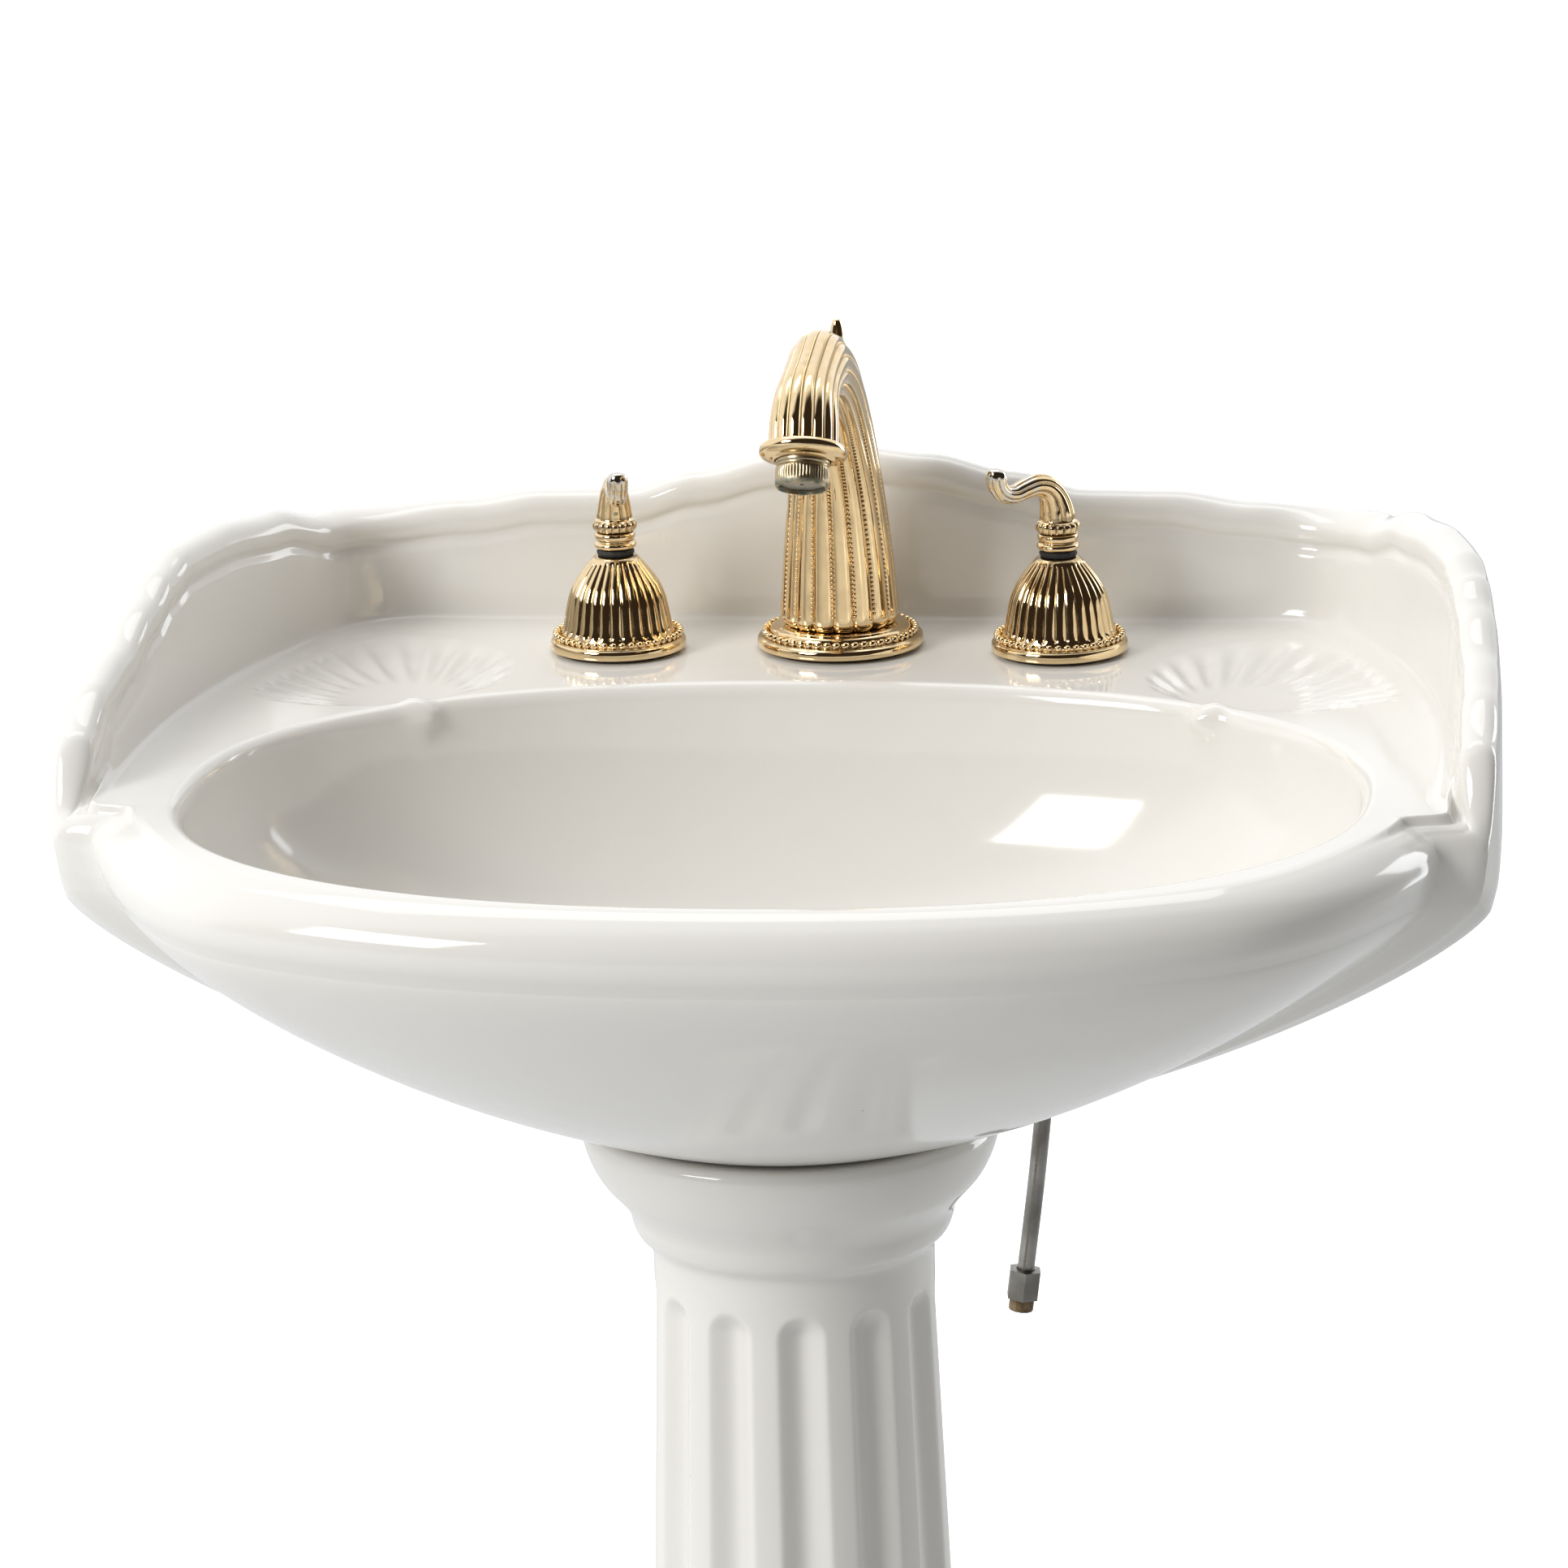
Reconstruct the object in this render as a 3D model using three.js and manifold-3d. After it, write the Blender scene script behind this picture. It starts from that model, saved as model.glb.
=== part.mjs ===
// Pedestal sink: ceramic basin on a fluted column, widespread faucet with two lever valves,
// and a pop-up drain worked by a lift rod behind the spout.
// Millimetres, +Z up, +Y towards the wall. Origin on the floor under the middle of the basin.
import * as THREE from 'three';
import { mergeVertices } from 'three/addons/utils/BufferGeometryUtils.js';
import Module from 'manifold-3d';

const wasm = await Module();
wasm.setup();

// ---------- driving dimensions ----------
const basinWidth = 616;
const basinDepth = 524;
const deckHeight = 813;
const gap = 0.3;

// basin plan, measured from its outer edge
const cornerInset = 64;
const cornerPower = 2.5;
const backCornerRadius = 16;
const frontRoundness = 2.25;
const sideSetback = 212;
const rollDrop = 19;
const frontTuck = 17;
const deckThickness = 14;
const apronDrop = 75;
const shellThickness = 12;

// bowl
const bowlSideRim = 58;
const bowlFrontRim = 27;
const bowlBackDeck = 139;
const bowlRoundness = 2.3;
const bowlDepth = 125;

// column
const columnSetback = 284;
const footRadius = 77.6;
const footStand = 17;
const capitalRadius = 91;
const neckRadius = 61.5;
const shaftFlare = 0.036;
const fluteCount = 12;
const fluteDepth = 5.5;
const plinthRadius = 116;
const plinthHeight = 34;
const columnWall = 11;
const columnSlotHalfWidth = 46;
const fluteTurn = (9.5 * Math.PI) / 180;

// faucet
const rowSetback = 77;
const valveSpacing = 203.2;
const spoutSetback = 9;
const liftRodSetback = 23;
const valveHoleRadius = 15;
const spoutHoleRadius = 17.5;
const valveBodyRadius = 11;
const stemRadius = 4;
const bellRadius = 31.2;
const bellHeight = 44.8;
const spoutBaseRadius = 38.2;
const spoutFootRadius = 27.5;
const spoutTipRadius = 15.5;
const spoutTop = 158;
const spoutReach = 114;
const tipHeight = 119;
const tipTilt = 28;
const flangeRadius = 19.5;
const aeratorRadius = 12;
const shankRadius = 8;
const connectorRadius = 4.5;
const supplyRadius = 4;
const liftRodRadius = 2;
const inletDrop = 80;
const outletDrop = 42;
const teeDrop = 72;
const teeReach = 22;
const supplyLean = 23.2;
const supplyDrop = 316;
const hotHeading = (12 * Math.PI) / 180;
const coldHeading = (45 * Math.PI) / 180;
const gasketThickness = 1.2;

// drain
const drainRadius = 15.5;
const tailpieceRadius = 15.9;
const flangeWidth = 13;
const pivotDrop = 186;
const pivotOffset = 24;
const liftTravel = 55;
const tailpieceDrop = 360;
const strapDrop = 135;
const strapThickness = 1.2;
const clipGap = 3.2;
const knobHeight = 136;

const sides = 16;

// ---------- positions worked out from the driving dimensions ----------
const halfWidth = basinWidth / 2;
const backY = basinDepth / 2;
const frontY = -basinDepth / 2;
const sideY = frontY + sideSetback;
const columnY = backY - columnSetback;
const rowY = backY - rowSetback;
const spoutY = rowY + spoutSetback;
const liftRodY = rowY + liftRodSetback;
const bowlFloor = deckHeight - bowlDepth;
const drainCeiling = bowlFloor - shellThickness;
const footZ = drainCeiling - footStand;
const valveX = valveSpacing / 2;
const liftArm = liftRodY - columnY - pivotOffset;
const stopperRise = (liftTravel * pivotOffset) / liftArm;

// ---------- solids ----------
function solidOf(geometry) {
  const bare = geometry.clone();
  for (const name of Object.keys(bare.attributes)) {
    if (name !== 'position') bare.deleteAttribute(name);
  }
  const welded = mergeVertices(bare, 1e-4);
  const mesh = new wasm.Mesh({
    numProp: 3,
    vertProperties: new Float32Array(welded.attributes.position.array),
    triVerts: new Uint32Array(welded.index.array),
  });
  return new wasm.Manifold(mesh);
}

function geometryOf(solid) {
  const mesh = solid.getMesh();
  const geometry = new THREE.BufferGeometry();
  geometry.setAttribute('position', new THREE.BufferAttribute(mesh.vertProperties, 3));
  geometry.setIndex(new THREE.BufferAttribute(mesh.triVerts, 1));
  return geometry;
}

function join(first, ...others) {
  return others.reduce((sum, solid) => sum.add(solid), first);
}

function cut(first, ...others) {
  return others.reduce((rest, solid) => rest.subtract(solid), first);
}

// Outline of [radius, height] pairs turned about the vertical line through (x, y).
function turned(outline, x = 0, y = 0, base = 0, segments = sides) {
  let area = 0;
  for (let i = 0; i < outline.length; i += 1) {
    const [r0, z0] = outline[i];
    const [r1, z1] = outline[(i + 1) % outline.length];
    area += r0 * z1 - r1 * z0;
  }
  const points = (area > 0 ? outline : [...outline].reverse()).map(([r, z]) => new THREE.Vector2(r, z));
  const touchesAxis = points.some((point) => point.x === 0);
  if (touchesAxis) {
    while (points[0].x !== 0 || points[points.length - 1].x !== 0) points.push(points.shift());
  } else {
    points.push(points[0].clone());
  }
  const geometry = new THREE.LatheGeometry(points, segments);
  geometry.rotateX(Math.PI / 2);
  geometry.translate(x, y, base);
  return solidOf(geometry);
}

function rod(radius, low, high, x, y, segments = sides) {
  return turned([[0, low], [radius, low], [radius, high], [0, high]], x, y, 0, segments);
}

function ring(inner, outer, low, high, x, y, segments = sides) {
  return turned([[inner, low], [outer, low], [outer, high], [inner, high]], x, y, 0, segments);
}

function hexNut(inner, flatRadius, low, high, x, y) {
  const blank = rod(flatRadius / Math.cos(Math.PI / 6), low, high, x, y, 6);
  return cut(blank, rod(inner, low - 1, high + 1, x, y));
}

function box(lowX, highX, lowY, highY, lowZ, highZ) {
  const geometry = new THREE.BoxGeometry(highX - lowX, highY - lowY, highZ - lowZ);
  geometry.translate((lowX + highX) / 2, (lowY + highY) / 2, (lowZ + highZ) / 2);
  return solidOf(geometry);
}

// Straight round bar from one point to another.
function bar(radius, from, to, segments = 12) {
  const start = new THREE.Vector3(...from);
  const end = new THREE.Vector3(...to);
  const geometry = new THREE.CylinderGeometry(radius, radius, start.distanceTo(end), segments);
  const turn = new THREE.Quaternion().setFromUnitVectors(
    new THREE.Vector3(0, 1, 0),
    end.clone().sub(start).normalize(),
  );
  geometry.applyQuaternion(turn);
  geometry.translate(...start.add(end).multiplyScalar(0.5).toArray());
  return solidOf(geometry);
}

// Round tube along a smooth curve through the points.
function bent(radius, bore, points, steps) {
  const circle = new THREE.Shape();
  circle.absarc(0, 0, radius, 0, 2 * Math.PI, false);
  const hole = new THREE.Path();
  hole.absarc(0, 0, bore, 0, 2 * Math.PI, true);
  circle.holes.push(hole);
  const path = new THREE.CatmullRomCurve3(points.map((point) => new THREE.Vector3(...point)));
  const geometry = new THREE.ExtrudeGeometry(circle, {
    steps,
    curveSegments: 4,
    bevelEnabled: false,
    extrudePath: path,
  });
  return solidOf(geometry);
}

// Closed skin over a stack of rings of equal point count, capped flat at both ends.
function skinned(rings) {
  const count = rings[0].length;
  const positions = rings.flat(2);
  const faces = [];
  for (let row = 0; row + 1 < rings.length; row += 1) {
    for (let i = 0; i < count; i += 1) {
      const next = (i + 1) % count;
      const a = row * count + i;
      const b = row * count + next;
      faces.push(a, b, b + count, a, b + count, a + count);
    }
  }
  for (const [row, flip] of [[0, true], [rings.length - 1, false]]) {
    const middle = [0, 1, 2].map((axis) => rings[row].reduce((sum, point) => sum + point[axis], 0) / count);
    const hub = positions.length / 3;
    positions.push(...middle);
    for (let i = 0; i < count; i += 1) {
      const a = row * count + i;
      const b = row * count + ((i + 1) % count);
      faces.push(hub, ...(flip ? [b, a] : [a, b]));
    }
  }
  const geometry = new THREE.BufferGeometry();
  geometry.setAttribute('position', new THREE.Float32BufferAttribute(positions, 3));
  geometry.setIndex(faces);
  return solidOf(geometry);
}

// ---------- plan outlines of the basin ----------
const mix = (a, b, t) => a + (b - a) * t;
const smooth = (t) => {
  const clamped = Math.min(Math.max(t, 0), 1);
  return clamped * clamped * (3 - 2 * clamped);
};

function superellipse(angle, halfX, halfY, power) {
  const c = Math.cos(angle);
  const s = Math.sin(angle);
  const scale = (Math.abs(c) ** power + Math.abs(s) ** power) ** (-1 / power);
  return [halfX * scale * c, halfY * scale * s];
}

// Right half of the outer edge, from the middle of the front to the middle of the back, moved in
// by an inset: a superellipse in front, a side that draws in as a power of the distance, and a
// rounded corner before the straight back.
function halfOutline(inset, cornerRadius) {
  const points = [];
  const reach = halfWidth - inset;
  for (let i = 0; i <= 60; i += 1) {
    const angle = -Math.PI / 2 + (i / 60) * (Math.PI / 2);
    const [x, y] = superellipse(angle, reach, sideY - frontY - inset, frontRoundness);
    points.push([x, sideY + y]);
  }
  const back = backY - inset;
  const sideX = (y) => reach - cornerInset * ((y - sideY) / (backY - sideY)) ** cornerPower;
  for (let i = 1; i <= 40; i += 1) {
    const y = mix(sideY, back - cornerRadius, i / 40);
    points.push([sideX(y), y]);
  }
  const start = points[points.length - 1];
  const corner = [sideX(back), back];
  const end = [corner[0] - cornerRadius, back];
  for (let i = 1; i <= 12; i += 1) {
    const t = i / 12;
    points.push([0, 1].map((k) => (1 - t) ** 2 * start[k] + 2 * t * (1 - t) * corner[k] + t * t * end[k]));
  }
  points.push([0, back]);
  return points;
}

function bowlOutline(grow) {
  const front = frontY + bowlFrontRim - grow;
  const back = backY - bowlBackDeck + grow;
  const points = [];
  for (let i = 0; i <= 90; i += 1) {
    const angle = -Math.PI / 2 + (i / 90) * Math.PI;
    const [x, y] = superellipse(angle, halfWidth - bowlSideRim + grow, (back - front) / 2, bowlRoundness);
    points.push([x, (front + back) / 2 + y]);
  }
  return points;
}

// Distance from the column axis to an outline along a direction, 0 being the front and pi the back.
function reachOf(outline, angle) {
  const turn = angle > Math.PI ? 2 * Math.PI - angle : angle;
  const bearing = ([x, y]) => Math.atan2(x, -(y - columnY));
  const next = outline.findIndex((point, i) => i > 0 && bearing(point) >= turn - 1e-9);
  const [x0, y0] = outline[Math.max(next, 1) - 1];
  const [x1, y1] = outline[Math.max(next, 1)];
  const c = Math.cos(turn);
  const s = Math.sin(turn);
  const across = (x, y) => x * c + (y - columnY) * s;
  const along = (x, y) => x * s - (y - columnY) * c;
  const a = across(x0, y0);
  const b = across(x1, y1);
  const t = Math.abs(a - b) < 1e-12 ? 0 : a / (a - b);
  return mix(along(x0, y0), along(x1, y1), t);
}

function planRing(angles, radii, heights) {
  return angles.map((angle, i) => [
    radii[i] * Math.sin(angle),
    columnY - radii[i] * Math.cos(angle),
    heights[i],
  ]);
}

// Height of the splash-back and wings above the deck at stations round the right half of the
// edge, as [share of the half width, setback from the back plane, height].
const rimStations = [
  [0, 0, 81], [0.12, 0, 77.5], [0.25, 0, 69], [0.36, 0, 60.5], [0.5, 0, 60], [0.62, 0, 55],
  [0.75, 0, 52], [0.83, 22, 54], [0.87, 69, 64], [0.93, 115, 68], [0.95, 160, 68], [0.98, 184, 63],
  [0.99, 208, 55], [1, 250, 43], [1, 292, 38], [1, 327, 27], [0.97, 360, 8], [0.85, 410, 1],
  [0, 524, 0],
];

function rimHeights(angles) {
  const stations = rimStations.map(([share, setback, height]) => {
    const y = backY - setback;
    return [Math.atan2(share * halfWidth, -(y - columnY)), height];
  }).sort((a, b) => a[0] - b[0]);
  return angles.map((angle) => {
    const turn = angle > Math.PI ? 2 * Math.PI - angle : angle;
    const i = Math.max(1, stations.findIndex((station) => station[0] >= turn - 1e-9));
    const [a, low] = stations[i - 1];
    const [b, high] = stations[i];
    return mix(low, high, smooth((turn - a) / (b - a)));
  });
}

// How far the front's edge lies inside the plan outline: it grows round the front corners and
// ends at the front edge of the wings, which stand out by that much.
function frontTucks(angles) {
  return angles.map((angle) => {
    const turn = angle > Math.PI ? 2 * Math.PI - angle : angle;
    return frontTuck * smooth((turn - 0.8) / 0.43) * smooth((1.345 - turn) / 0.045);
  });
}

// ---------- basin ----------
const basinAngles = [];
const basinSlices = 56;
for (let i = 0; i < basinSlices; i += 1) basinAngles.push((i / basinSlices) * 2 * Math.PI);

// Section of the rim at the front, as [inset, height], and of the wall, as [inset, share of the
// wall height, height added to that].
const frontSection = [
  [20, 0], [15, -0.8], [9, -4], [4, -9], [1, -14], [0, -rollDrop], [2.5, -25], [7, -29],
];
const wallSection = [
  [29, 0, 0], [21, 0, 2.5], [17, 1, -14], [14, 1, -1.6], [8, 1, 0], [0, 1, -8], [0, 0, -20], [0, 0, -40],
];

function basinOuter(inset) {
  const heights = rimHeights(basinAngles);
  const tuck = frontTucks(basinAngles);
  const rings = [];
  const foot = footZ + inset;
  const edges = new Map();
  const edge = (amount) => {
    const key = amount.toFixed(3);
    if (!edges.has(key)) edges.set(key, halfOutline(amount, mix(backCornerRadius, 45, amount / 29)));
    return edges.get(key);
  };
  const rimRings = frontSection.map((front, k) => {
    const radii = [];
    const levels = [];
    basinAngles.forEach((angle, i) => {
      const wall = wallSection[k];
      const share = smooth(heights[i] / 30);
      const amount = mix(front[0], wall[0], share) + tuck[i] + inset;
      radii.push(reachOf(edge(Math.round(amount * 4) / 4), angle));
      levels.push(deckHeight + mix(front[1], wall[1] * heights[i] + wall[2], share) - (k < 6 ? inset : 0));
    });
    return planRing(basinAngles, radii, levels);
  });
  const backShare = basinAngles.map((angle) => smooth((1.1 - Math.abs(Math.PI - angle)) / 0.5));
  const top = basinAngles.map((angle, i) => {
    const share = smooth(heights[i] / 30);
    const level = mix(mix(-33, -44, share), -apronDrop, backShare[i]);
    const amount = mix(10, mix(5, 0, backShare[i]), share) + tuck[i] + inset;
    return [reachOf(edge(amount), angle), deckHeight + level];
  });
  const steps = 7;
  for (let k = 0; k <= steps; k += 1) {
    const share = Math.sin((k / steps) * (Math.PI / 2)) ** 1.2;
    const radii = top.map(([radius]) => mix(footRadius - inset, radius, share));
    const levels = top.map(([, level]) => level - (level - foot) * (1 - share ** 1.25) ** 0.785);
    rings.push(planRing(basinAngles, radii, levels));
  }
  return skinned([...rings, ...[...rimRings].reverse()]);
}

function bowlSolid(grow) {
  const lip = bowlOutline(grow);
  const rings = [];
  const steps = 7;
  const floor = bowlFloor - grow;
  for (let k = 0; k <= steps; k += 1) {
    const depth = Math.cos((k / steps) * (Math.PI / 2));
    const share = (1 - depth ** 2.2) ** (1 / 2.2);
    const radii = basinAngles.map((angle) => mix(drainRadius + flangeWidth + 3, reachOf(lip, angle), share));
    rings.push(planRing(basinAngles, radii, basinAngles.map(() => mix(deckHeight, floor, depth))));
  }
  const above = basinAngles.map((angle) => reachOf(lip, angle));
  rings.push(planRing(basinAngles, above, basinAngles.map(() => deckHeight + 30)));
  return skinned(rings);
}

function basin() {
  const hollowFront = columnY + footRadius;
  const hollowBack = backY - 16;
  const low = footZ - 60;
  const windowX = halfWidth - 110;
  const behind = box(-halfWidth, halfWidth, hollowFront, hollowBack, low, deckHeight - deckThickness);
  const window = box(-windowX, windowX, hollowFront, hollowBack, low, deckHeight - 40);
  const inside = basinOuter(shellThickness).intersect(behind).add(window);
  const hollow = cut(inside, bowlSolid(shellThickness));
  const recess = rod(footRadius - shellThickness, footZ - 10, drainCeiling, 0, columnY);
  return cut(
    basinOuter(0),
    bowlSolid(0),
    hollow,
    recess,
    rod(drainRadius + 3, bowlFloor - 40, bowlFloor + 40, 0, columnY),
    rod(valveHoleRadius, deckHeight - 60, deckHeight + 60, -valveX, rowY),
    rod(valveHoleRadius, deckHeight - 60, deckHeight + 60, valveX, rowY),
    rod(spoutHoleRadius, deckHeight - 60, deckHeight + 60, 0, spoutY),
  );
}

// ---------- column ----------
const shaft = (z) => neckRadius + shaftFlare * (footZ - gap - 81 - z);

function columnOutline() {
  const top = footZ - gap;
  const foot = plinthHeight + 36;
  return [
    [capitalRadius - 5, top], [capitalRadius, top - 6], [capitalRadius - 3, top - 17],
    [capitalRadius - 9, top - 28], [capitalRadius - 19, top - 39], [capitalRadius - 20, top - 44],
    [capitalRadius - 23, top - 51], [neckRadius, top - 57], [neckRadius, top - 66],
    [shaft(top - 75), top - 75], [shaft(top - 88), top - 88], [shaft(foot + 40), foot + 40],
    [shaft(foot + 26), foot + 26], [shaft(foot), foot], [plinthRadius - 18, foot - 8],
    [plinthRadius - 18, foot - 20], [plinthRadius - 10, foot - 26], [plinthRadius - 4, foot - 32],
    [plinthRadius, plinthHeight - 4], [plinthRadius, 0],
  ];
}

function column() {
  const outline = columnOutline();
  const slices = 48;
  const fluteTop = outline[9][1];
  const fluteFoot = outline[12][1];
  const rings = [...outline].reverse().map(([radius, z]) => {
    const fluted = z < fluteTop - 1 && z > fluteFoot + 1;
    return Array.from({ length: slices }, (_, i) => {
      const angle = (i / slices) * 2 * Math.PI;
      const phase = fluteCount * (angle - fluteTurn);
      const r = radius - (fluted ? fluteDepth * Math.max(0, Math.cos(phase) + 0.35) / 1.35 : 0);
      return [r * Math.sin(angle), columnY - r * Math.cos(angle), z];
    });
  });
  const top = footZ - gap;
  const inner = turned(
    [[0, -10], [plinthRadius - columnWall - 8, -10], [plinthRadius - columnWall - 8, plinthHeight - 8],
      [shaft(plinthHeight + 50) - columnWall, plinthHeight + 50], [neckRadius - columnWall, top - 90],
      [neckRadius - columnWall, top + 10], [0, top + 10]],
    0,
    columnY,
  );
  const half = columnSlotHalfWidth;
  const slot = box(-half, half, columnY, columnY + 2 * plinthRadius, -10, top + 10);
  return cut(skinned(rings), inner, slot);
}

// ---------- spout ----------
// Side outline of the spout, along its back and top and along its front and underside, as
// [distance in front of the shank, height above the deck], and its half width at those stations.
const spoutStations = () => {
  const crown = spoutTop - 0.5;
  const tilt = (tipTilt * Math.PI) / 180;
  const back = (distance) => spoutReach - distance * Math.sin(tilt);
  const level = (distance) => tipHeight + distance * Math.cos(tilt);
  const wide = spoutTipRadius * Math.cos(tilt);
  const rise = spoutTipRadius * Math.sin(tilt);
  const foot = spoutFootRadius;
  return [
    [[-foot, 8], [foot, 8], foot],
    [[-foot + 2, 45], [foot - 0.5, 42], foot - 2.4],
    [[-foot + 8, 85], [foot + 3, 74], foot - 6.2],
    [[-foot + 21, 0.77 * crown], [0.355 * spoutReach, 0.62 * crown], foot - 9],
    [[0.15 * spoutReach, 0.925 * crown], [0.46 * spoutReach, 0.725 * crown], foot - 10.4],
    [[0.42 * spoutReach, crown], [0.57 * spoutReach, 0.785 * crown], spoutTipRadius - 1.9],
    [[0.7 * spoutReach, 0.98 * crown], [0.69 * spoutReach, 0.805 * crown], spoutTipRadius - 2],
    [[spoutReach - 3.5, tipHeight + 28], [0.777 * spoutReach, tipHeight + 6.5], spoutTipRadius - 1.2],
    [[back(11) + wide, level(11) + rise], [back(11) - wide, level(11) - rise], spoutTipRadius - 0.3],
    [[back(0) + wide, level(0) + rise], [back(0) - wide, level(0) - rise], spoutTipRadius],
  ];
};

// Closed skin of elliptical rings between the two side outlines, shrunk about the middle line
// by a share, or held to one width where a width is given.
function spoutSkin(share, steps, segments, width) {
  const stations = spoutStations();
  const curve = (pick) => new THREE.CatmullRomCurve3(stations.map((station) => {
    const [forward, height] = pick(station);
    return new THREE.Vector3(0, spoutY - forward, deckHeight + height);
  }), false, 'centripetal');
  const over = curve((station) => station[0]);
  const under = curve((station) => station[1]);
  const halves = curve((station) => [station[2], 0]);
  const rings = [];
  for (let k = 0; k <= steps; k += 1) {
    const t = k / steps;
    const a = over.getPoint(t);
    const b = under.getPoint(t);
    const half = width ?? spoutY - halves.getPoint(t).y;
    rings.push(Array.from({ length: segments }, (_, i) => {
      const angle = (i / segments) * 2 * Math.PI;
      const along = 0.5 + 0.5 * share * Math.sin(angle);
      return [half * Math.cos(angle), mix(b.y, a.y, along), mix(b.z, a.z, along)];
    }));
  }
  return skinned(rings);
}

function liftRodHole(low, high) {
  return rod(liftRodRadius + 0.8, deckHeight + low, deckHeight + high, 0, liftRodY, 12);
}

function spout() {
  const baseTop = 12;
  const gasketTop = gap + gasketThickness;
  const bore = shankRadius - 2.5;
  place('spout_gasket', cut(
    ring(spoutHoleRadius, spoutBaseRadius - 4, deckHeight + gap, deckHeight + gasketTop, 0, spoutY, 20),
    liftRodHole(-5, 20),
  ), 'rubber');
  place('spout_base', cut(turned([
    [shankRadius + gap, gasketTop + gap], [spoutBaseRadius, gasketTop + gap], [spoutBaseRadius, 4],
    [spoutBaseRadius - 2.5, 6.5], [spoutBaseRadius - 4, 7], [spoutBaseRadius - 4.5, 10],
    [spoutBaseRadius - 7, baseTop - 1], [spoutFootRadius, baseTop - gap],
    [shankRadius + gap, baseTop - gap],
  ], 0, spoutY, deckHeight, 24), liftRodHole(-5, 20)), 'gold');
  const body = spoutSkin(1, 15, 16);
  const waterway = spoutSkin(0.3, 12, 10, bore);
  const tip = deckHeight + tipHeight;
  const tipY = spoutY - spoutReach;
  const tilted = (solid) => solid.translate([0, -tipY, -tip]).rotate([-tipTilt, 0, 0]).translate([0, tipY, tip]);
  const outlet = tilted(rod(bore, tip - 2, tip + 8, 0, tipY));
  place('spout_body', cut(
    body,
    waterway,
    outlet,
    rod(shankRadius + gap, deckHeight, deckHeight + baseTop + 22, 0, spoutY),
    liftRodHole(0, 170),
    box(-60, 60, spoutY - 60, spoutY + 60, deckHeight - 20, deckHeight + baseTop),
  ), 'gold');
  place('spout_flange', tilted(turned([
    [bore + 1, -gap], [flangeRadius - 3, -gap], [flangeRadius, -2.6], [flangeRadius, -4.6],
    [flangeRadius - 5, -7.6], [aeratorRadius + 1, -8], [aeratorRadius + gap, -8],
    [aeratorRadius + gap, -4], [bore + 1, -4],
  ], 0, tipY, tip, 20)), 'gold');
  place('aerator_housing', tilted(turned([
    [bore + 1, -4 - gap], [aeratorRadius, -4 - gap], [aeratorRadius, -20],
    [aeratorRadius - 2, -20], [aeratorRadius - 2, -7], [bore + 1, -7],
  ], 0, tipY, tip)), 'worn_gold');
  place('aerator_screen', tilted(ring(1, aeratorRadius - 2 - gap, tip - 18, tip - 16, 0, tipY)), 'steel');
  const shankTop = deckHeight + baseTop + 20;
  place('spout_shank', ring(bore, shankRadius, deckHeight - 58, shankTop, 0, spoutY), 'brass');
  const washerTop = deckHeight - deckThickness - gap;
  place('spout_washer', cut(
    ring(shankRadius + gap, spoutHoleRadius + 7, washerTop - 2.5, washerTop, 0, spoutY),
    liftRodHole(-40, 0),
  ), 'steel');
  place('spout_nut', hexNut(
    shankRadius + gap, shankRadius + 2, washerTop - 12, washerTop - 2.5 - gap, 0, spoutY,
  ), 'brass');
  const armZ = deckHeight - teeDrop;
  const arm = (radius, from, to, segments) => bar(radius, [from, spoutY, armZ], [to, spoutY, armZ], segments);
  place('mixing_tee', cut(
    join(
      rod(shankRadius + 3, deckHeight - 84, deckHeight - 46, 0, spoutY),
      arm(connectorRadius + 3, -teeReach, teeReach, 16),
    ),
    rod(shankRadius + gap, deckHeight - 60, deckHeight - 40, 0, spoutY),
    rod(shankRadius - 2, deckHeight - 80, deckHeight - 50, 0, spoutY),
    arm(connectorRadius + gap, -teeReach - 1, -teeReach + 7, 16),
    arm(connectorRadius + gap, teeReach + 1, teeReach - 7, 16),
    arm(connectorRadius - 1, -teeReach, teeReach, 12),
  ), 'brass');
}

// ---------- valves ----------
// Middle line of a lever as [distance out from the stem, height above the deck, half width].
const leverLine = [
  [0, 62, 7.8], [0.5, 67, 7.4], [2.2, 72.5, 6.4], [6.6, 77.4, 5.5], [13, 79.4, 5], [20, 78.4, 4.6],
  [26, 77.2, 4.3], [31, 78.2, 4.3], [34.5, 81.6, 4.6], [35.5, 87, 4.6], [34.8, 91, 3.2],
];

function leverSolid(x, heading) {
  const forward = new THREE.Vector3(Math.sin(heading), -Math.cos(heading), 0);
  const up = new THREE.Vector3(0, 0, 1);
  const aside = new THREE.Vector3().crossVectors(forward, up);
  const base = new THREE.Vector3(x, rowY, deckHeight);
  const points = leverLine.map(([out, height]) => (
    base.clone().addScaledVector(forward, out).addScaledVector(up, height)
  ));
  const segments = 10;
  const rings = points.map((point, k) => {
    const before = points[Math.max(k - 1, 0)];
    const after = points[Math.min(k + 1, points.length - 1)];
    const along = after.clone().sub(before).normalize();
    const over = new THREE.Vector3().crossVectors(aside, along);
    const half = leverLine[k][2];
    return Array.from({ length: segments }, (_, i) => {
      const angle = (i / segments) * 2 * Math.PI;
      const spot = point.clone().addScaledVector(aside, half * Math.cos(angle));
      return spot.addScaledVector(over, -half * Math.sin(angle)).toArray();
    });
  });
  return skinned(rings);
}

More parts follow.
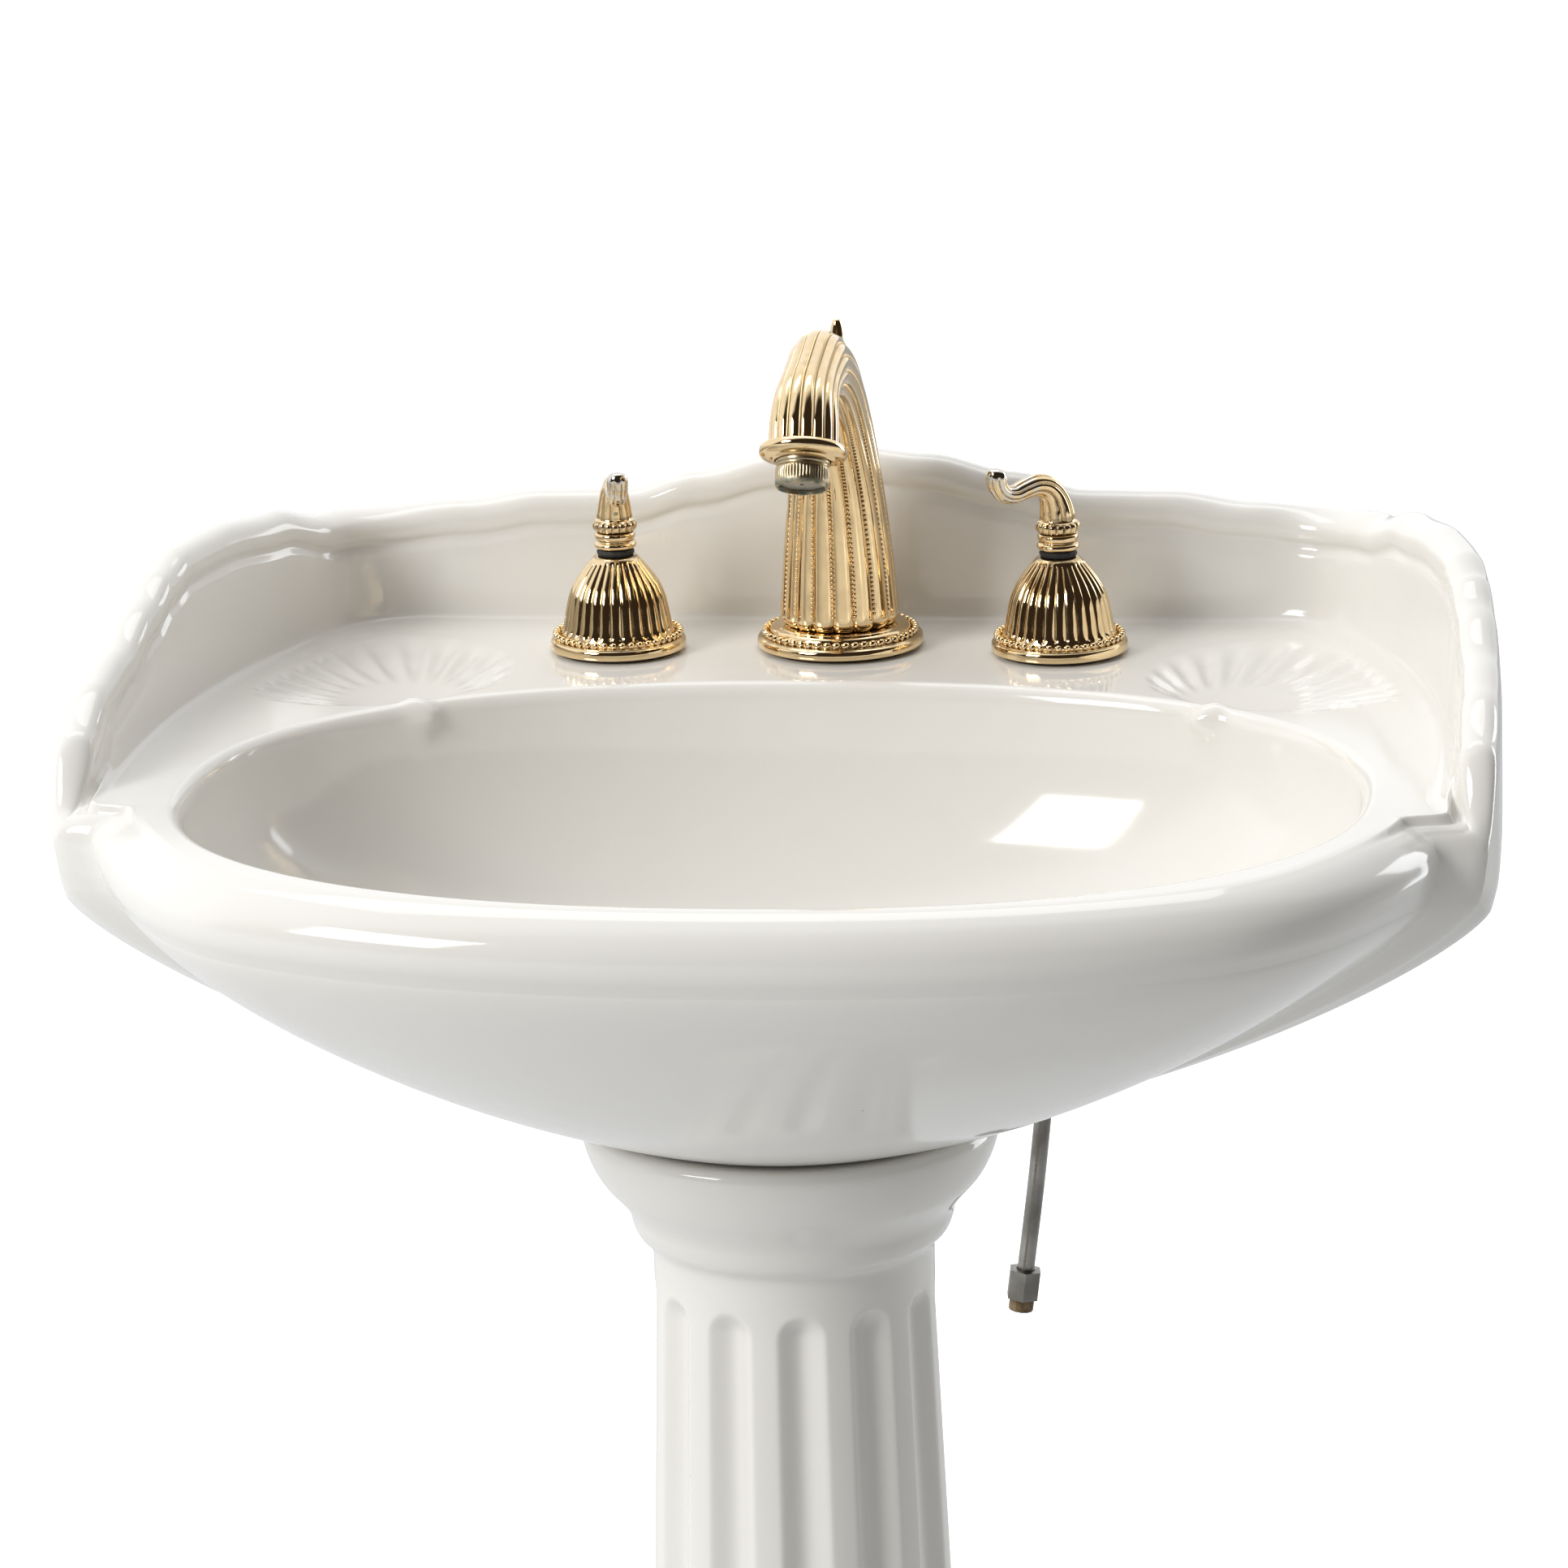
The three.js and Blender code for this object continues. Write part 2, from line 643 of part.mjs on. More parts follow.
function valve(name, side) {
  const x = side * valveX;
  const put = (piece, solid, material) => place(`${name}_${piece}`, solid, material);
  const turnedHere = (outline, segments = sides) => turned(outline, x, rowY, deckHeight, segments);
  const inner = valveBodyRadius + gap;
  const gasketTop = gap + gasketThickness;
  const neck = bellHeight;
  put('gasket', turnedHere([
    [inner + 4, gap], [bellRadius - 3, gap], [bellRadius - 3, gasketTop], [inner + 4, gasketTop],
  ], 20), 'rubber');
  const bell = [
    [bellRadius, gasketTop + gap], [bellRadius, 4], [bellRadius - 4, 7.5], [bellRadius - 5, 9],
    [bellRadius - 6.6, 15], [bellRadius - 7.2, 21], [bellRadius - 9, 28], [bellRadius - 12.2, 34.5],
    [bellRadius - 17.5, 40.5], [9, neck],
  ];
  const shell = 1.6;
  const hollow = bell.slice(2).map(([r, z]) => [r - shell, z - shell / 2]);
  hollow[hollow.length - 1] = [stemRadius + 1, neck - 2.2];
  put('escutcheon', turnedHere([
    ...bell, [stemRadius + 1, neck], ...hollow.reverse(), [bellRadius - 5.6, gasketTop + gap],
  ], 20), 'gold');
  const wide = valveBodyRadius + 3;
  const slim = valveBodyRadius - 4;
  const outletAt = (distance) => [x - side * distance, rowY, deckHeight - outletDrop];
  put('valve_body', cut(
    join(
      turnedHere([
        [0, -inletDrop], [valveBodyRadius - 1, -inletDrop], [valveBodyRadius - 1, -52], [wide, -50],
        [wide, -34], [valveBodyRadius, -32], [valveBodyRadius, 22], [slim, 24], [slim, 34], [0, 34],
      ]),
      bar(connectorRadius + 2.5, outletAt(0), outletAt(valveBodyRadius + 9), 14),
    ),
    rod(stemRadius + gap, deckHeight - 6, deckHeight + 60, x, rowY),
    rod(supplyRadius + 0.8, deckHeight - inletDrop - 1, deckHeight - inletDrop + 18, x, rowY),
    bar(connectorRadius + gap, outletAt(valveBodyRadius + 1), outletAt(valveBodyRadius + 12), 14),
  ), 'brass');
  put('stem', turnedHere([[0, -5], [stemRadius, -5], [stemRadius, 56], [0, 56]]), 'brass');
  put('o_ring', turnedHere([
    [stemRadius + gap, neck + gap], [8.2, neck + gap], [8.8, neck + 1.6], [8.2, neck + 2.9],
    [stemRadius + gap, neck + 2.9],
  ]), 'rubber');
  put('hub', turnedHere([
    [stemRadius + gap, neck + 3.2], [8.6, neck + 3.2], [9.8, neck + 4.6], [9.8, neck + 6], [8.4, neck + 7],
    [8.4, neck + 9], [9, neck + 11], [stemRadius + gap, neck + 11],
  ]), 'gold');
  const collar = turnedHere([
    [0, neck + 11 + gap], [8.6, neck + 11 + gap], [10.2, neck + 12.6], [10.2, neck + 16],
    [8.2, neck + 18], [0, neck + 18],
  ]);
  const heading = -side * (side < 0 ? hotHeading : coldHeading);
  const socket = rod(stemRadius + gap, deckHeight + 40, deckHeight + 56 + gap, x, rowY);
  const screwFrom = [x, rowY + stemRadius + 0.6, deckHeight + neck + 14.2];
  const screwTo = [x, rowY + 9, deckHeight + neck + 14.2];
  const screwHole = bar(1.8, [x, rowY, screwFrom[2]], [x, rowY + 14, screwFrom[2]], 10);
  put('lever', cut(join(collar, leverSolid(x, heading)), socket, screwHole), 'gold');
  put('set_screw', bar(1.45, screwFrom, screwTo, 10), 'steel');
  const under = -deckThickness - gap;
  put('washer', turnedHere([
    [inner, under - 2], [valveHoleRadius + 5, under - 2], [valveHoleRadius + 5, under], [inner, under],
  ]), 'steel');
  const nutTop = deckHeight + under - 2 - gap;
  put('locknut', hexNut(inner, valveBodyRadius + 4.5, nutTop - 9 + gap, nutTop, x, rowY), 'brass');
  const teeAt = (distance, rise = 0) => [side * (teeReach + distance), spoutY, deckHeight - teeDrop + rise];
  const middle = [
    side * mix(teeReach, valveX, 0.42),
    mix(rowY, spoutY, 0.5),
    deckHeight - mix(outletDrop, teeDrop, 0.5),
  ];
  const [bendX, bendY, bendZ] = outletAt(wide + 13);
  put('connector', bent(connectorRadius, connectorRadius - 1, [
    outletAt(wide), outletAt(wide + 7), [bendX, bendY, bendZ - 0.6], middle,
    teeAt(8, 0.6), teeAt(1), teeAt(-5),
  ], 9), 'copper');
}

// ---------- supplies ----------
function supply(name, side) {
  const put = (piece, solid, material) => place(`${name}_${piece}`, solid, material);
  const x = side * valveX;
  const lean = side * supplyLean;
  const inletZ = deckHeight - inletDrop;
  const start = [x, rowY, inletZ + 12];
  const end = [x - lean, rowY, deckHeight - supplyDrop];
  const straight = [x - lean * 0.58, rowY, deckHeight - supplyDrop + 75];
  put('coupling_nut', cut(
    hexNut(supplyRadius + gap, valveBodyRadius + 3, inletZ - 6, inletZ + 14, x, rowY),
    rod(valveBodyRadius - 1 + gap, inletZ - gap, deckHeight, x, rowY),
  ), 'brass');
  put('supply_tube', bent(supplyRadius, supplyRadius - 0.9, [
    start, [x, rowY, inletZ - 8], [x - lean * 0.08, rowY, inletZ - 40], straight, end,
  ], 10), 'nickel');
  const along = new THREE.Vector3(...end).sub(new THREE.Vector3(...straight)).normalize();
  const at = (distance) => new THREE.Vector3(...end).addScaledVector(along, distance).toArray();
  const clearance = supplyRadius + 0.45;
  put('compression_nut', cut(
    bar(8, at(-19), at(-5), 6),
    bar(clearance, at(-30), at(10), 12),
  ), 'nickel');
  put('ferrule', cut(
    bar(supplyRadius + 1.8, at(-4.6), at(1), 12),
    bar(clearance, at(-30), at(10), 12),
  ), 'worn_brass');
}

// ---------- pop-up drain ----------
function drain() {
  const floor = -bowlDepth;
  const at = (outline, segments = sides) => turned(outline, 0, columnY, deckHeight, segments);
  const ceiling = -bowlDepth - shellThickness;
  const flangeFoot = ceiling - 16;
  const inner = drainRadius - 2;
  place('drain_flange', at([
    [inner, floor + 1.8], [drainRadius + flangeWidth, floor + 1],
    [drainRadius + flangeWidth, floor + gap], [drainRadius + 2, floor + gap],
    [drainRadius + 1, floor - 2], [drainRadius, floor - 4], [drainRadius, flangeFoot], [inner, flangeFoot],
  ]), 'gold');
  const plug = floor + stopperRise;
  place('stopper', at([
    [0, plug + 1], [3, plug + 1], [inner - 4, plug + 2.6], [inner + 3.5, plug + 2.6],
    [inner + 4, plug + 4], [inner - 2, plug + 7], [0, plug + 8],
  ]), 'gold');
  place('stopper_stem', at([
    [0, -pivotDrop + 5], [3.2, -pivotDrop + 5], [3.2, plug + 0.7], [0, plug + 0.7],
  ], 12), 'brass');
  const bodyRadius = drainRadius + 3.5;
  place('drain_gasket', at([
    [drainRadius + gap, ceiling - gap], [drainRadius + 11, ceiling - gap], [drainRadius + 8, ceiling - 6],
    [drainRadius + gap, ceiling - 6],
  ]), 'rubber');
  const nutTop = ceiling - 6 - gap;
  place('drain_locknut', cut(
    at([[0, ceiling - 14], [drainRadius + 10, ceiling - 14], [drainRadius + 10, nutTop], [0, nutTop]], 8),
    rod(drainRadius + gap, deckHeight + ceiling - 20, deckHeight + ceiling, 0, columnY),
  ), 'brass');
  const port = deckHeight - pivotDrop;
  const body = at([
    [drainRadius + gap, ceiling - 14 - gap], [bodyRadius, ceiling - 14 - gap],
    [bodyRadius, -pivotDrop - 22], [drainRadius - 1, -pivotDrop - 24],
    [drainRadius - 1, -pivotDrop - 44], [drainRadius - 3, -pivotDrop - 44],
    [drainRadius - 3, -pivotDrop - 20], [drainRadius + gap, flangeFoot - gap],
  ]);
  place('drain_body', cut(
    join(body, cut(
      bar(8, [0, columnY + drainRadius + 1, port], [0, columnY + pivotOffset + 4, port], 16),
      rod(drainRadius + 0.5, port - 20, port + 20, 0, columnY),
    )),
    bar(5.6, [0, columnY, port], [0, columnY + pivotOffset + 8, port], 16),
  ), 'brass');
  place('tailpiece', at([
    [drainRadius - 1 + gap, -pivotDrop - 26], [tailpieceRadius, -pivotDrop - 26],
    [tailpieceRadius, -tailpieceDrop], [tailpieceRadius - 1.3, -tailpieceDrop],
    [tailpieceRadius - 1.3, -pivotDrop - 46], [drainRadius - 1 + gap, -pivotDrop - 45],
  ]), 'gold');
}

function popUpLinkage() {
  const pivot = [0, columnY + pivotOffset, deckHeight - pivotDrop];
  const arm = liftArm;
  const swing = liftTravel / arm;
  const slope = Math.tan(swing / 2);
  const outer = [0, liftRodY + 9, pivot[2] - (arm + 9) * slope];
  const innerEnd = [0, columnY + 3.2 + 1.2, pivot[2] + (pivotOffset - 4.4) * slope];
  const ball = new THREE.SphereGeometry(4.6, 10, 8);
  ball.rotateX(Math.PI / 2);
  ball.translate(...pivot);
  place('pivot_rod', join(bar(2.2, innerEnd, outer, 10), solidOf(ball)), 'steel');
  const ringAt = (y) => [0, columnY + y, pivot[2]];
  place('pivot_nut', cut(
    bar(9.5, ringAt(pivotOffset + 4 + gap), ringAt(pivotOffset + 13), 8),
    bar(5.4, ringAt(pivotOffset), ringAt(pivotOffset + 20), 12),
  ), 'plastic');
  const strapTop = deckHeight - strapDrop;
  const holeZ = pivot[2] - arm * slope;
  const strapFoot = holeZ - 16;
  place('lift_rod', join(
    rod(liftRodRadius, strapTop - 28, deckHeight + knobHeight + 1, 0, liftRodY, 12),
    turned([
      [0, knobHeight], [3, knobHeight], [4.2, knobHeight + 1.2], [4.2, knobHeight + 2.6],
      [3, knobHeight + 3.8], [3.3, knobHeight + 6], [2.1, knobHeight + 13], [0, knobHeight + 14],
    ], 0, liftRodY, deckHeight, 12),
  ), 'gold');
  const strapY = liftRodY + liftRodRadius + 0.8;
  const holes = [];
  for (let i = -2; i <= 3; i += 1) {
    const z = holeZ + i * 9;
    holes.push(bar(3.6, [0, strapY - 4, z], [0, strapY + 6, z], 10));
  }
  const strapBack = strapY + strapThickness;
  const socket = cut(
    box(-5, 5, liftRodY - 6, strapBack, strapTop - 30, strapTop - 8),
    rod(liftRodRadius + gap, strapTop - 40, strapTop, 0, liftRodY, 12),
  );
  place('clevis_strap', cut(
    join(box(-5, 5, strapY, strapBack, strapFoot, strapTop - 8), socket),
    ...holes,
    bar(1.8, [0, liftRodY, strapTop - 20], [0, liftRodY - 10, strapTop - 20], 10),
  ), 'steel');
  const clipX = 7;
  const leaf = (y) => box(-5, clipX, y, y + 0.6, holeZ - 4, holeZ + 4);
  place('spring_clip', cut(
    join(
      leaf(strapY - clipGap - 0.6),
      leaf(strapBack + clipGap),
      box(clipX - 0.6, clipX, strapY - clipGap - 0.6, strapBack + clipGap + 0.6, holeZ - 4, holeZ + 4),
    ),
    bar(2.75, innerEnd, [outer[0], outer[1] + 20, outer[2] - 20 * slope], 12),
  ), 'steel');
  place('clevis_screw', join(
    bar(1.5, [0, liftRodY - liftRodRadius - gap, strapTop - 20], [0, liftRodY - 9, strapTop - 20], 10),
    bar(5, [0, liftRodY - 9, strapTop - 20], [0, liftRodY - 12, strapTop - 20], 12),
  ), 'steel');
}

// ---------- assembly ----------
const finishes = {
  ceramic: new THREE.MeshStandardMaterial({ color: 0xe9e5dc, roughness: 0.12, metalness: 0 }),
  gold: new THREE.MeshStandardMaterial({ color: 0xd9b45a, roughness: 0.18, metalness: 1 }),
  worn_gold: new THREE.MeshStandardMaterial({ color: 0xb49a5c, roughness: 0.35, metalness: 1 }),
  brass: new THREE.MeshStandardMaterial({ color: 0xb5964e, roughness: 0.4, metalness: 1 }),
  worn_brass: new THREE.MeshStandardMaterial({ color: 0x8a6a4a, roughness: 0.5, metalness: 1 }),
  copper: new THREE.MeshStandardMaterial({ color: 0xb87552, roughness: 0.35, metalness: 1 }),
  steel: new THREE.MeshStandardMaterial({ color: 0xa9a9a6, roughness: 0.35, metalness: 1 }),
  nickel: new THREE.MeshStandardMaterial({ color: 0x8b8a84, roughness: 0.45, metalness: 1 }),
  rubber: new THREE.MeshStandardMaterial({ color: 0x1b1b1b, roughness: 0.8, metalness: 0 }),
  plastic: new THREE.MeshStandardMaterial({ color: 0xd8d8d2, roughness: 0.5, metalness: 0 }),
};
const sink = new THREE.Group();

function place(name, solid, finish) {
  const mesh = new THREE.Mesh(geometryOf(solid), finishes[finish]);
  mesh.name = name;
  sink.add(mesh);
}

place('basin', basin(), 'ceramic');
place('pedestal', column(), 'ceramic');
spout();
for (const [name, side] of [['hot', -1], ['cold', 1]]) {
  valve(name, side);
  supply(name, side);
}
drain();
popUpLinkage();

export default sink;
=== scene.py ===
import math

import bmesh
import bpy
import numpy as np
from mathutils import Matrix, Vector


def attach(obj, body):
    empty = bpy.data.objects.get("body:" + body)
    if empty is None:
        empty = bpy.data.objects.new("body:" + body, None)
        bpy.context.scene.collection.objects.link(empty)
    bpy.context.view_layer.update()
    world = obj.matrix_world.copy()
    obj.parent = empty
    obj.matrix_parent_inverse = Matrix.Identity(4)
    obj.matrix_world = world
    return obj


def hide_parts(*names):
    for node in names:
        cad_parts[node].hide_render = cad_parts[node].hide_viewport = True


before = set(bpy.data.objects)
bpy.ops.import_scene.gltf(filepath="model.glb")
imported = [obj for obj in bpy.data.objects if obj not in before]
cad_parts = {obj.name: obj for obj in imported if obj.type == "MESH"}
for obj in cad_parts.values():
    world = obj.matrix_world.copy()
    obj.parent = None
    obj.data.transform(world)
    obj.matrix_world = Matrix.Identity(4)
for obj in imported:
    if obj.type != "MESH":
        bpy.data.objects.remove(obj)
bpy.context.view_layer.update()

# All sizes are in millimetres and become metres when a mesh is made.
METRE = 0.001

# Basin. A bearing is an angle about the column axis, 0 at the front and pi at the back.
DECK = 813.0
HALF_WIDTH = 307.9
BACK = 262.0
FRONT = -262.0
SIDE_Y = -50.0
CORNER_INSET = 64.0
CORNER_POWER = 2.5
FRONT_ROUNDNESS = 2.25
COLUMN_Y = -22.0
FOOT_Z = 659.0
FOOT_RADIUS = 77.6
APRON_DROP = 75.0
SHELL_WALL = 12.0
BOWL_HALF_WIDTH = 250.0
BOWL_FRONT = -235.0
BOWL_BACK = 123.0
BOWL_ROUNDNESS = 2.3
BOWL_FLOOR = 688.0
BOWL_FLAT_RADIUS = 31.5
LIP_DROP = 6.0
LIP_WIDTH = 6.0
FRONT_TUCK = 17.0
TUCK_GROWS = (0.8, 0.43)  # bearing where the tuck starts, and the turn over which it grows
TUCK_ENDS = (1.345, 0.045)  # bearing where it has gone, and the turn over which it falls

# Shell dishes at the back corners of the deck
SHELL_APEX = (179.0, 86.0)
SHELL_DIRECTION = (0.465, 0.885)
SHELL_RADIUS = 64.0
SHELL_DEPTH = 4.2
SHELL_GROOVE = 1.9
SHELL_KNOB = 2.0
SHELL_RIBS = 42

# Column
FLUTES = 12
FLUTE_TURN = math.radians(9.5)
FLUTE_HALF_ANGLE = math.radians(9.9)
FLUTE_DEPTH = 5.5
FLUTE_TOP = 585.0
FLUTE_FOOT = 96.0
CAPITAL_RADIUS = 91.0
NECK_RADIUS = 61.5
SHAFT_FLARE = 0.036
PLINTH_RADIUS = 116.0
PLINTH_HEIGHT = 34.0
COLUMN_WALL = 11.0
COLUMN_TOP = FOOT_Z - 0.3
COLUMN_SLOT = 46.0

# Faucet
ROW_Y = 185.0
SPOUT_Y = 194.0
LIFT_ROD_Y = 208.0
VALVE_X = 101.6
SPOUT_LOBES = 16
SPOUT_REACH = 114.0
SPOUT_TOP = 158.0
TIP_HEIGHT = 119.0
TIP_RADIUS = 15.5
TIP_TILT = math.radians(28)
SPOUT_FOOT_RADIUS = 27.5
NECK = 44.8
BELL_REEDS = 28
HEADINGS = {"hot": math.radians(12), "cold": math.radians(-45)}
SIDES = {"hot": -1, "cold": 1}

# Waste and supplies
DRAIN_RADIUS = 15.5
STOPPER_RISE = 6.41


# ---------- curves and surfaces ----------
def mix(a, b, share):
    return a + (b - a) * share


def smooth(share):
    """0 below 0, 1 above 1, and 3s^2 - 2s^3 between."""
    share = np.clip(share, 0, 1)
    return share * share * (3 - 2 * share)


def softened(points, rounds=2, closed=False):
    """Cuts every corner of a line of points at a quarter of its two sides, a number of times."""
    points = np.asarray(points, float)
    for _ in range(rounds):
        before, after = (points, np.roll(points, -1, 0)) if closed else (points[:-1], points[1:])
        cut = np.stack([mix(before, after, 0.25), mix(before, after, 0.75)], 1)
        cut = cut.reshape(-1, *points.shape[1:])
        points = cut if closed else np.concatenate([points[:1], cut, points[-1:]])
    return points


def unit(vectors):
    """The vectors at length 1."""
    return vectors / np.linalg.norm(vectors, axis=-1, keepdims=True)


def through(points, share):
    """Centripetal Catmull-Rom curve through the points, at shares from 0 to 1 of the way."""
    points = np.asarray(points, float)
    held = np.vstack([2 * points[0] - points[1], points, 2 * points[-1] - points[-2]])
    place = np.clip(share, 0, 1) * (len(points) - 1)
    start = np.minimum(place.astype(int), len(points) - 2)
    t = (place - start)[:, None]
    p0, p1, p2, p3 = (held[start + k] for k in range(4))

    def root(a, b):
        return np.maximum(np.linalg.norm(b - a, axis=1, keepdims=True), 1e-4) ** 0.5

    d0, d1, d2 = root(p0, p1), root(p1, p2), root(p2, p3)
    m1 = ((p1 - p0) / d0 - (p2 - p0) / (d0 + d1) + (p2 - p1) / d1) * d1
    m2 = ((p2 - p1) / d1 - (p3 - p1) / (d1 + d2) + (p3 - p2) / d2) * d1
    return (
        p1 * (2 * t**3 - 3 * t**2 + 1)
        + m1 * (t**3 - 2 * t**2 + t)
        + p2 * (3 * t**2 - 2 * t**3)
        + m2 * (t**3 - t**2)
    )


def grid_faces(rows, columns, wrap_rows, wrap_columns):
    """Four-sided faces between neighbours of a grid of points."""
    i = np.arange(rows if wrap_rows else rows - 1)
    j = np.arange(columns if wrap_columns else columns - 1)
    a, b = np.meshgrid(i, j, indexing="ij")
    c, d = (a + 1) % rows, (b + 1) % columns
    corners = [a * columns + b, a * columns + d, c * columns + d, c * columns + b]
    return np.stack(corners, -1).reshape(-1, 4)


def surface(points, wrap_rows=False, wrap_columns=True, recess=0.0, wear=0.0):
    """A shape from a rows x columns x 3 grid, with its two masks at every point."""
    rows, columns = points.shape[:2]
    return {
        "points": points.reshape(-1, 3),
        "faces": grid_faces(rows, columns, wrap_rows, wrap_columns),
        "recess": np.broadcast_to(recess, (rows, columns)).reshape(-1),
        "wear": np.broadcast_to(wear, (rows, columns)).reshape(-1),
    }


def together(*shapes):
    """One shape out of several."""
    counts = np.cumsum([0] + [len(s["points"]) for s in shapes[:-1]])
    joined = {key: np.concatenate([s[key] for s in shapes]) for key in ("points", "recess", "wear")}
    joined["faces"] = np.concatenate([s["faces"] + start for s, start in zip(shapes, counts)])
    return joined


def lathe(outline, x, y, base=DECK, segments=96, relief=None, wrap_rows=True):
    """An outline of (radius, height) turned about an upright axis. relief(angle, radius, height)
    gives what is added to the radius and how deep in a groove each point is."""
    outline = np.asarray(outline, float)
    angle = np.linspace(0, 2 * np.pi, segments, endpoint=False)[None, :]
    radius = np.repeat(outline[:, :1], segments, 1)
    height = np.repeat(outline[:, 1:], segments, 1)
    recess = np.zeros_like(radius)
    if relief:
        change, recess = relief(angle, radius, height)
        radius = radius + change
    points = np.stack([x + radius * np.sin(angle), y - radius * np.cos(angle), base + height], -1)
    return surface(points, wrap_rows=wrap_rows, recess=recess)


def beads(centres, axes, sizes):
    """A small ball, eight faces round and six high, at every centre, stretched along its axes."""
    up = np.linspace(0, np.pi, 7)[:, None]
    turn = np.linspace(0, 2 * np.pi, 8, endpoint=False)[None, :]
    ball = [np.sin(up) * np.cos(turn), np.sin(up) * np.sin(turn), np.cos(up) + 0 * turn]
    ball = np.stack(ball, -1)
    faces = grid_faces(7, 8, False, True)
    scaled = ball.reshape(-1, 3) * np.asarray(sizes, float)
    points = np.einsum("pk,nkc->npc", scaled, axes) + np.asarray(centres)[:, None, :]
    count = len(centres)
    return {
        "points": points.reshape(-1, 3),
        "faces": (faces[None] + 56 * np.arange(count)[:, None, None]).reshape(-1, 4),
        "recess": np.zeros(56 * count),
        "wear": np.zeros(56 * count),
    }


def bead_ring(count, radius, height, x, y, sizes, slant=0.0):
    """Beads round an upright axis; sizes are half lengths round the ring, outward and up."""
    angle = (np.arange(count) + 0.5) / count * 2 * np.pi
    out = np.stack([np.sin(angle), -np.cos(angle), 0 * angle], -1)
    round_ring = np.stack([np.cos(angle), np.sin(angle), 0 * angle], -1)
    up = np.broadcast_to([0.0, 0.0, 1.0], out.shape)
    along = round_ring * math.cos(slant) + up * math.sin(slant)
    over = up * math.cos(slant) - round_ring * math.sin(slant)
    centres = out * radius + [x, y, DECK + height]
    return beads(centres, np.stack([along, out, over], 1), sizes)


def tube(path, radius, segments=20, steps=60, bore=None):
    """A round section carried along a smooth path, with a bore where one is given."""
    share = np.linspace(0, 1, steps)
    middle = through(path, share)
    along = unit(np.gradient(middle, axis=0))
    side = unit(np.cross(along, [0.03, 1.0, 0.02]))
    over = np.cross(side, along)
    turn = np.linspace(0, 2 * np.pi, segments, endpoint=False)
    ring = side[:, None] * np.cos(turn)[None, :, None] + over[:, None] * np.sin(turn)[None, :, None]
    outside = middle[:, None] + radius * ring
    inside = middle[::-1, None] + (bore or 0.0) * ring[::-1]
    return surface(np.concatenate([outside, inside]), wrap_rows=True)


# ---------- meshes ----------
def mesh_object(name, shape):
    """The shape as a closed mesh with outward faces, in metres."""
    mesh = bpy.data.meshes.new(name)
    mesh.from_pydata(shape["points"] * METRE, [], shape["faces"])
    for mask in ("recess", "wear"):
        if np.any(shape[mask]):
            layer = mesh.attributes.new(mask, "FLOAT", "POINT")
            layer.data.foreach_set("value", shape[mask].astype(np.float32))
    work = bmesh.new()
    work.from_mesh(mesh)
    bmesh.ops.remove_doubles(work, verts=work.verts, dist=1e-7)
    bmesh.ops.recalc_face_normals(work, faces=work.faces)
    work.to_mesh(mesh)
    work.free()
    made = bpy.data.objects.new(name, mesh)
    bpy.context.scene.collection.objects.link(made)
    return made


def carve(made, *tools, operation="DIFFERENCE"):
    """Takes the tools away from a mesh, or keeps what is common, and removes the tools."""
    for tool in tools:
        modifier = made.modifiers.new("carve", "BOOLEAN")
        modifier.operation = operation
        modifier.solver = "MANIFOLD"
        modifier.object = tool
    bpy.context.view_layer.update()
    graph = bpy.context.evaluated_depsgraph_get()
    carved = bpy.data.meshes.new_from_object(made.evaluated_get(graph))
    made.modifiers.clear()
    made.data = carved
    for tool in tools:
        bpy.data.objects.remove(tool)
    return made


def block(low, high):
    """A box between two corners, as a tool."""
    x, y, z = zip(low, high)
    ring = [[x[0], y[0]], [x[1], y[0]], [x[1], y[1]], [x[0], y[1]]]
    rows = [[[x[0], y[0], z[0]]] * 4]
    rows += [[[*corner, level] for corner in ring] for level in z]
    rows += [[[x[0], y[0], z[1]]] * 4]
    return mesh_object("tool", surface(np.array(rows, float)))


def drill(radius, low, high, x, y, segments=48):
    """An upright rod between two heights, as a tool."""
    outline = [[0, low], [radius, low], [radius, high], [0, high]]
    return mesh_object("tool", lathe(outline, x, y, 0.0, segments, wrap_rows=False))


def finished(made, material, body, nodes, sharp=38):
    """Gives a mesh its shading, finish, body and material slot, and hides the nodes that it stands
    for.
    """
    made.data.shade_smooth()
    made.data.set_sharp_from_angle(angle=math.radians(sharp))
    made.data.materials.clear()
    made.data.materials.append(material)
    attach(made, body)
    if nodes:
        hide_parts(*nodes)
    return made


# ---------- materials ----------
def add(tree, kind, inputs=None, **settings):
    """A node with its settings and its inputs; an input is a value or another node's output."""
    node = tree.nodes.new(kind)
    for key, value in settings.items():
        setattr(node, key, value)
    for key, value in (inputs or {}).items():
        if isinstance(value, bpy.types.NodeSocket):
            tree.links.new(value, node.inputs[key])
        else:
            node.inputs[key].default_value = value
    return node


def blend(tree, share, a, b):
    """The mix of two colours."""
    inputs = {"Factor": share, "A": a, "B": b}
    return add(tree, "ShaderNodeMix", inputs, data_type="RGBA").outputs[2]


def spread(tree, value, low, high, to_low=0.0, to_high=1.0, **settings):
    """A value carried from one range to another."""
    ends = {"From Min": low, "From Max": high, "To Min": to_low, "To Max": to_high}
    return add(tree, "ShaderNodeMapRange", {"Value": value, **ends}, **settings).outputs[0]


def maths(tree, operation, *values, **settings):
    """The result of a Math node."""
    inputs = dict(enumerate(values))
    return add(tree, "ShaderNodeMath", inputs, operation=operation, **settings).outputs[0]


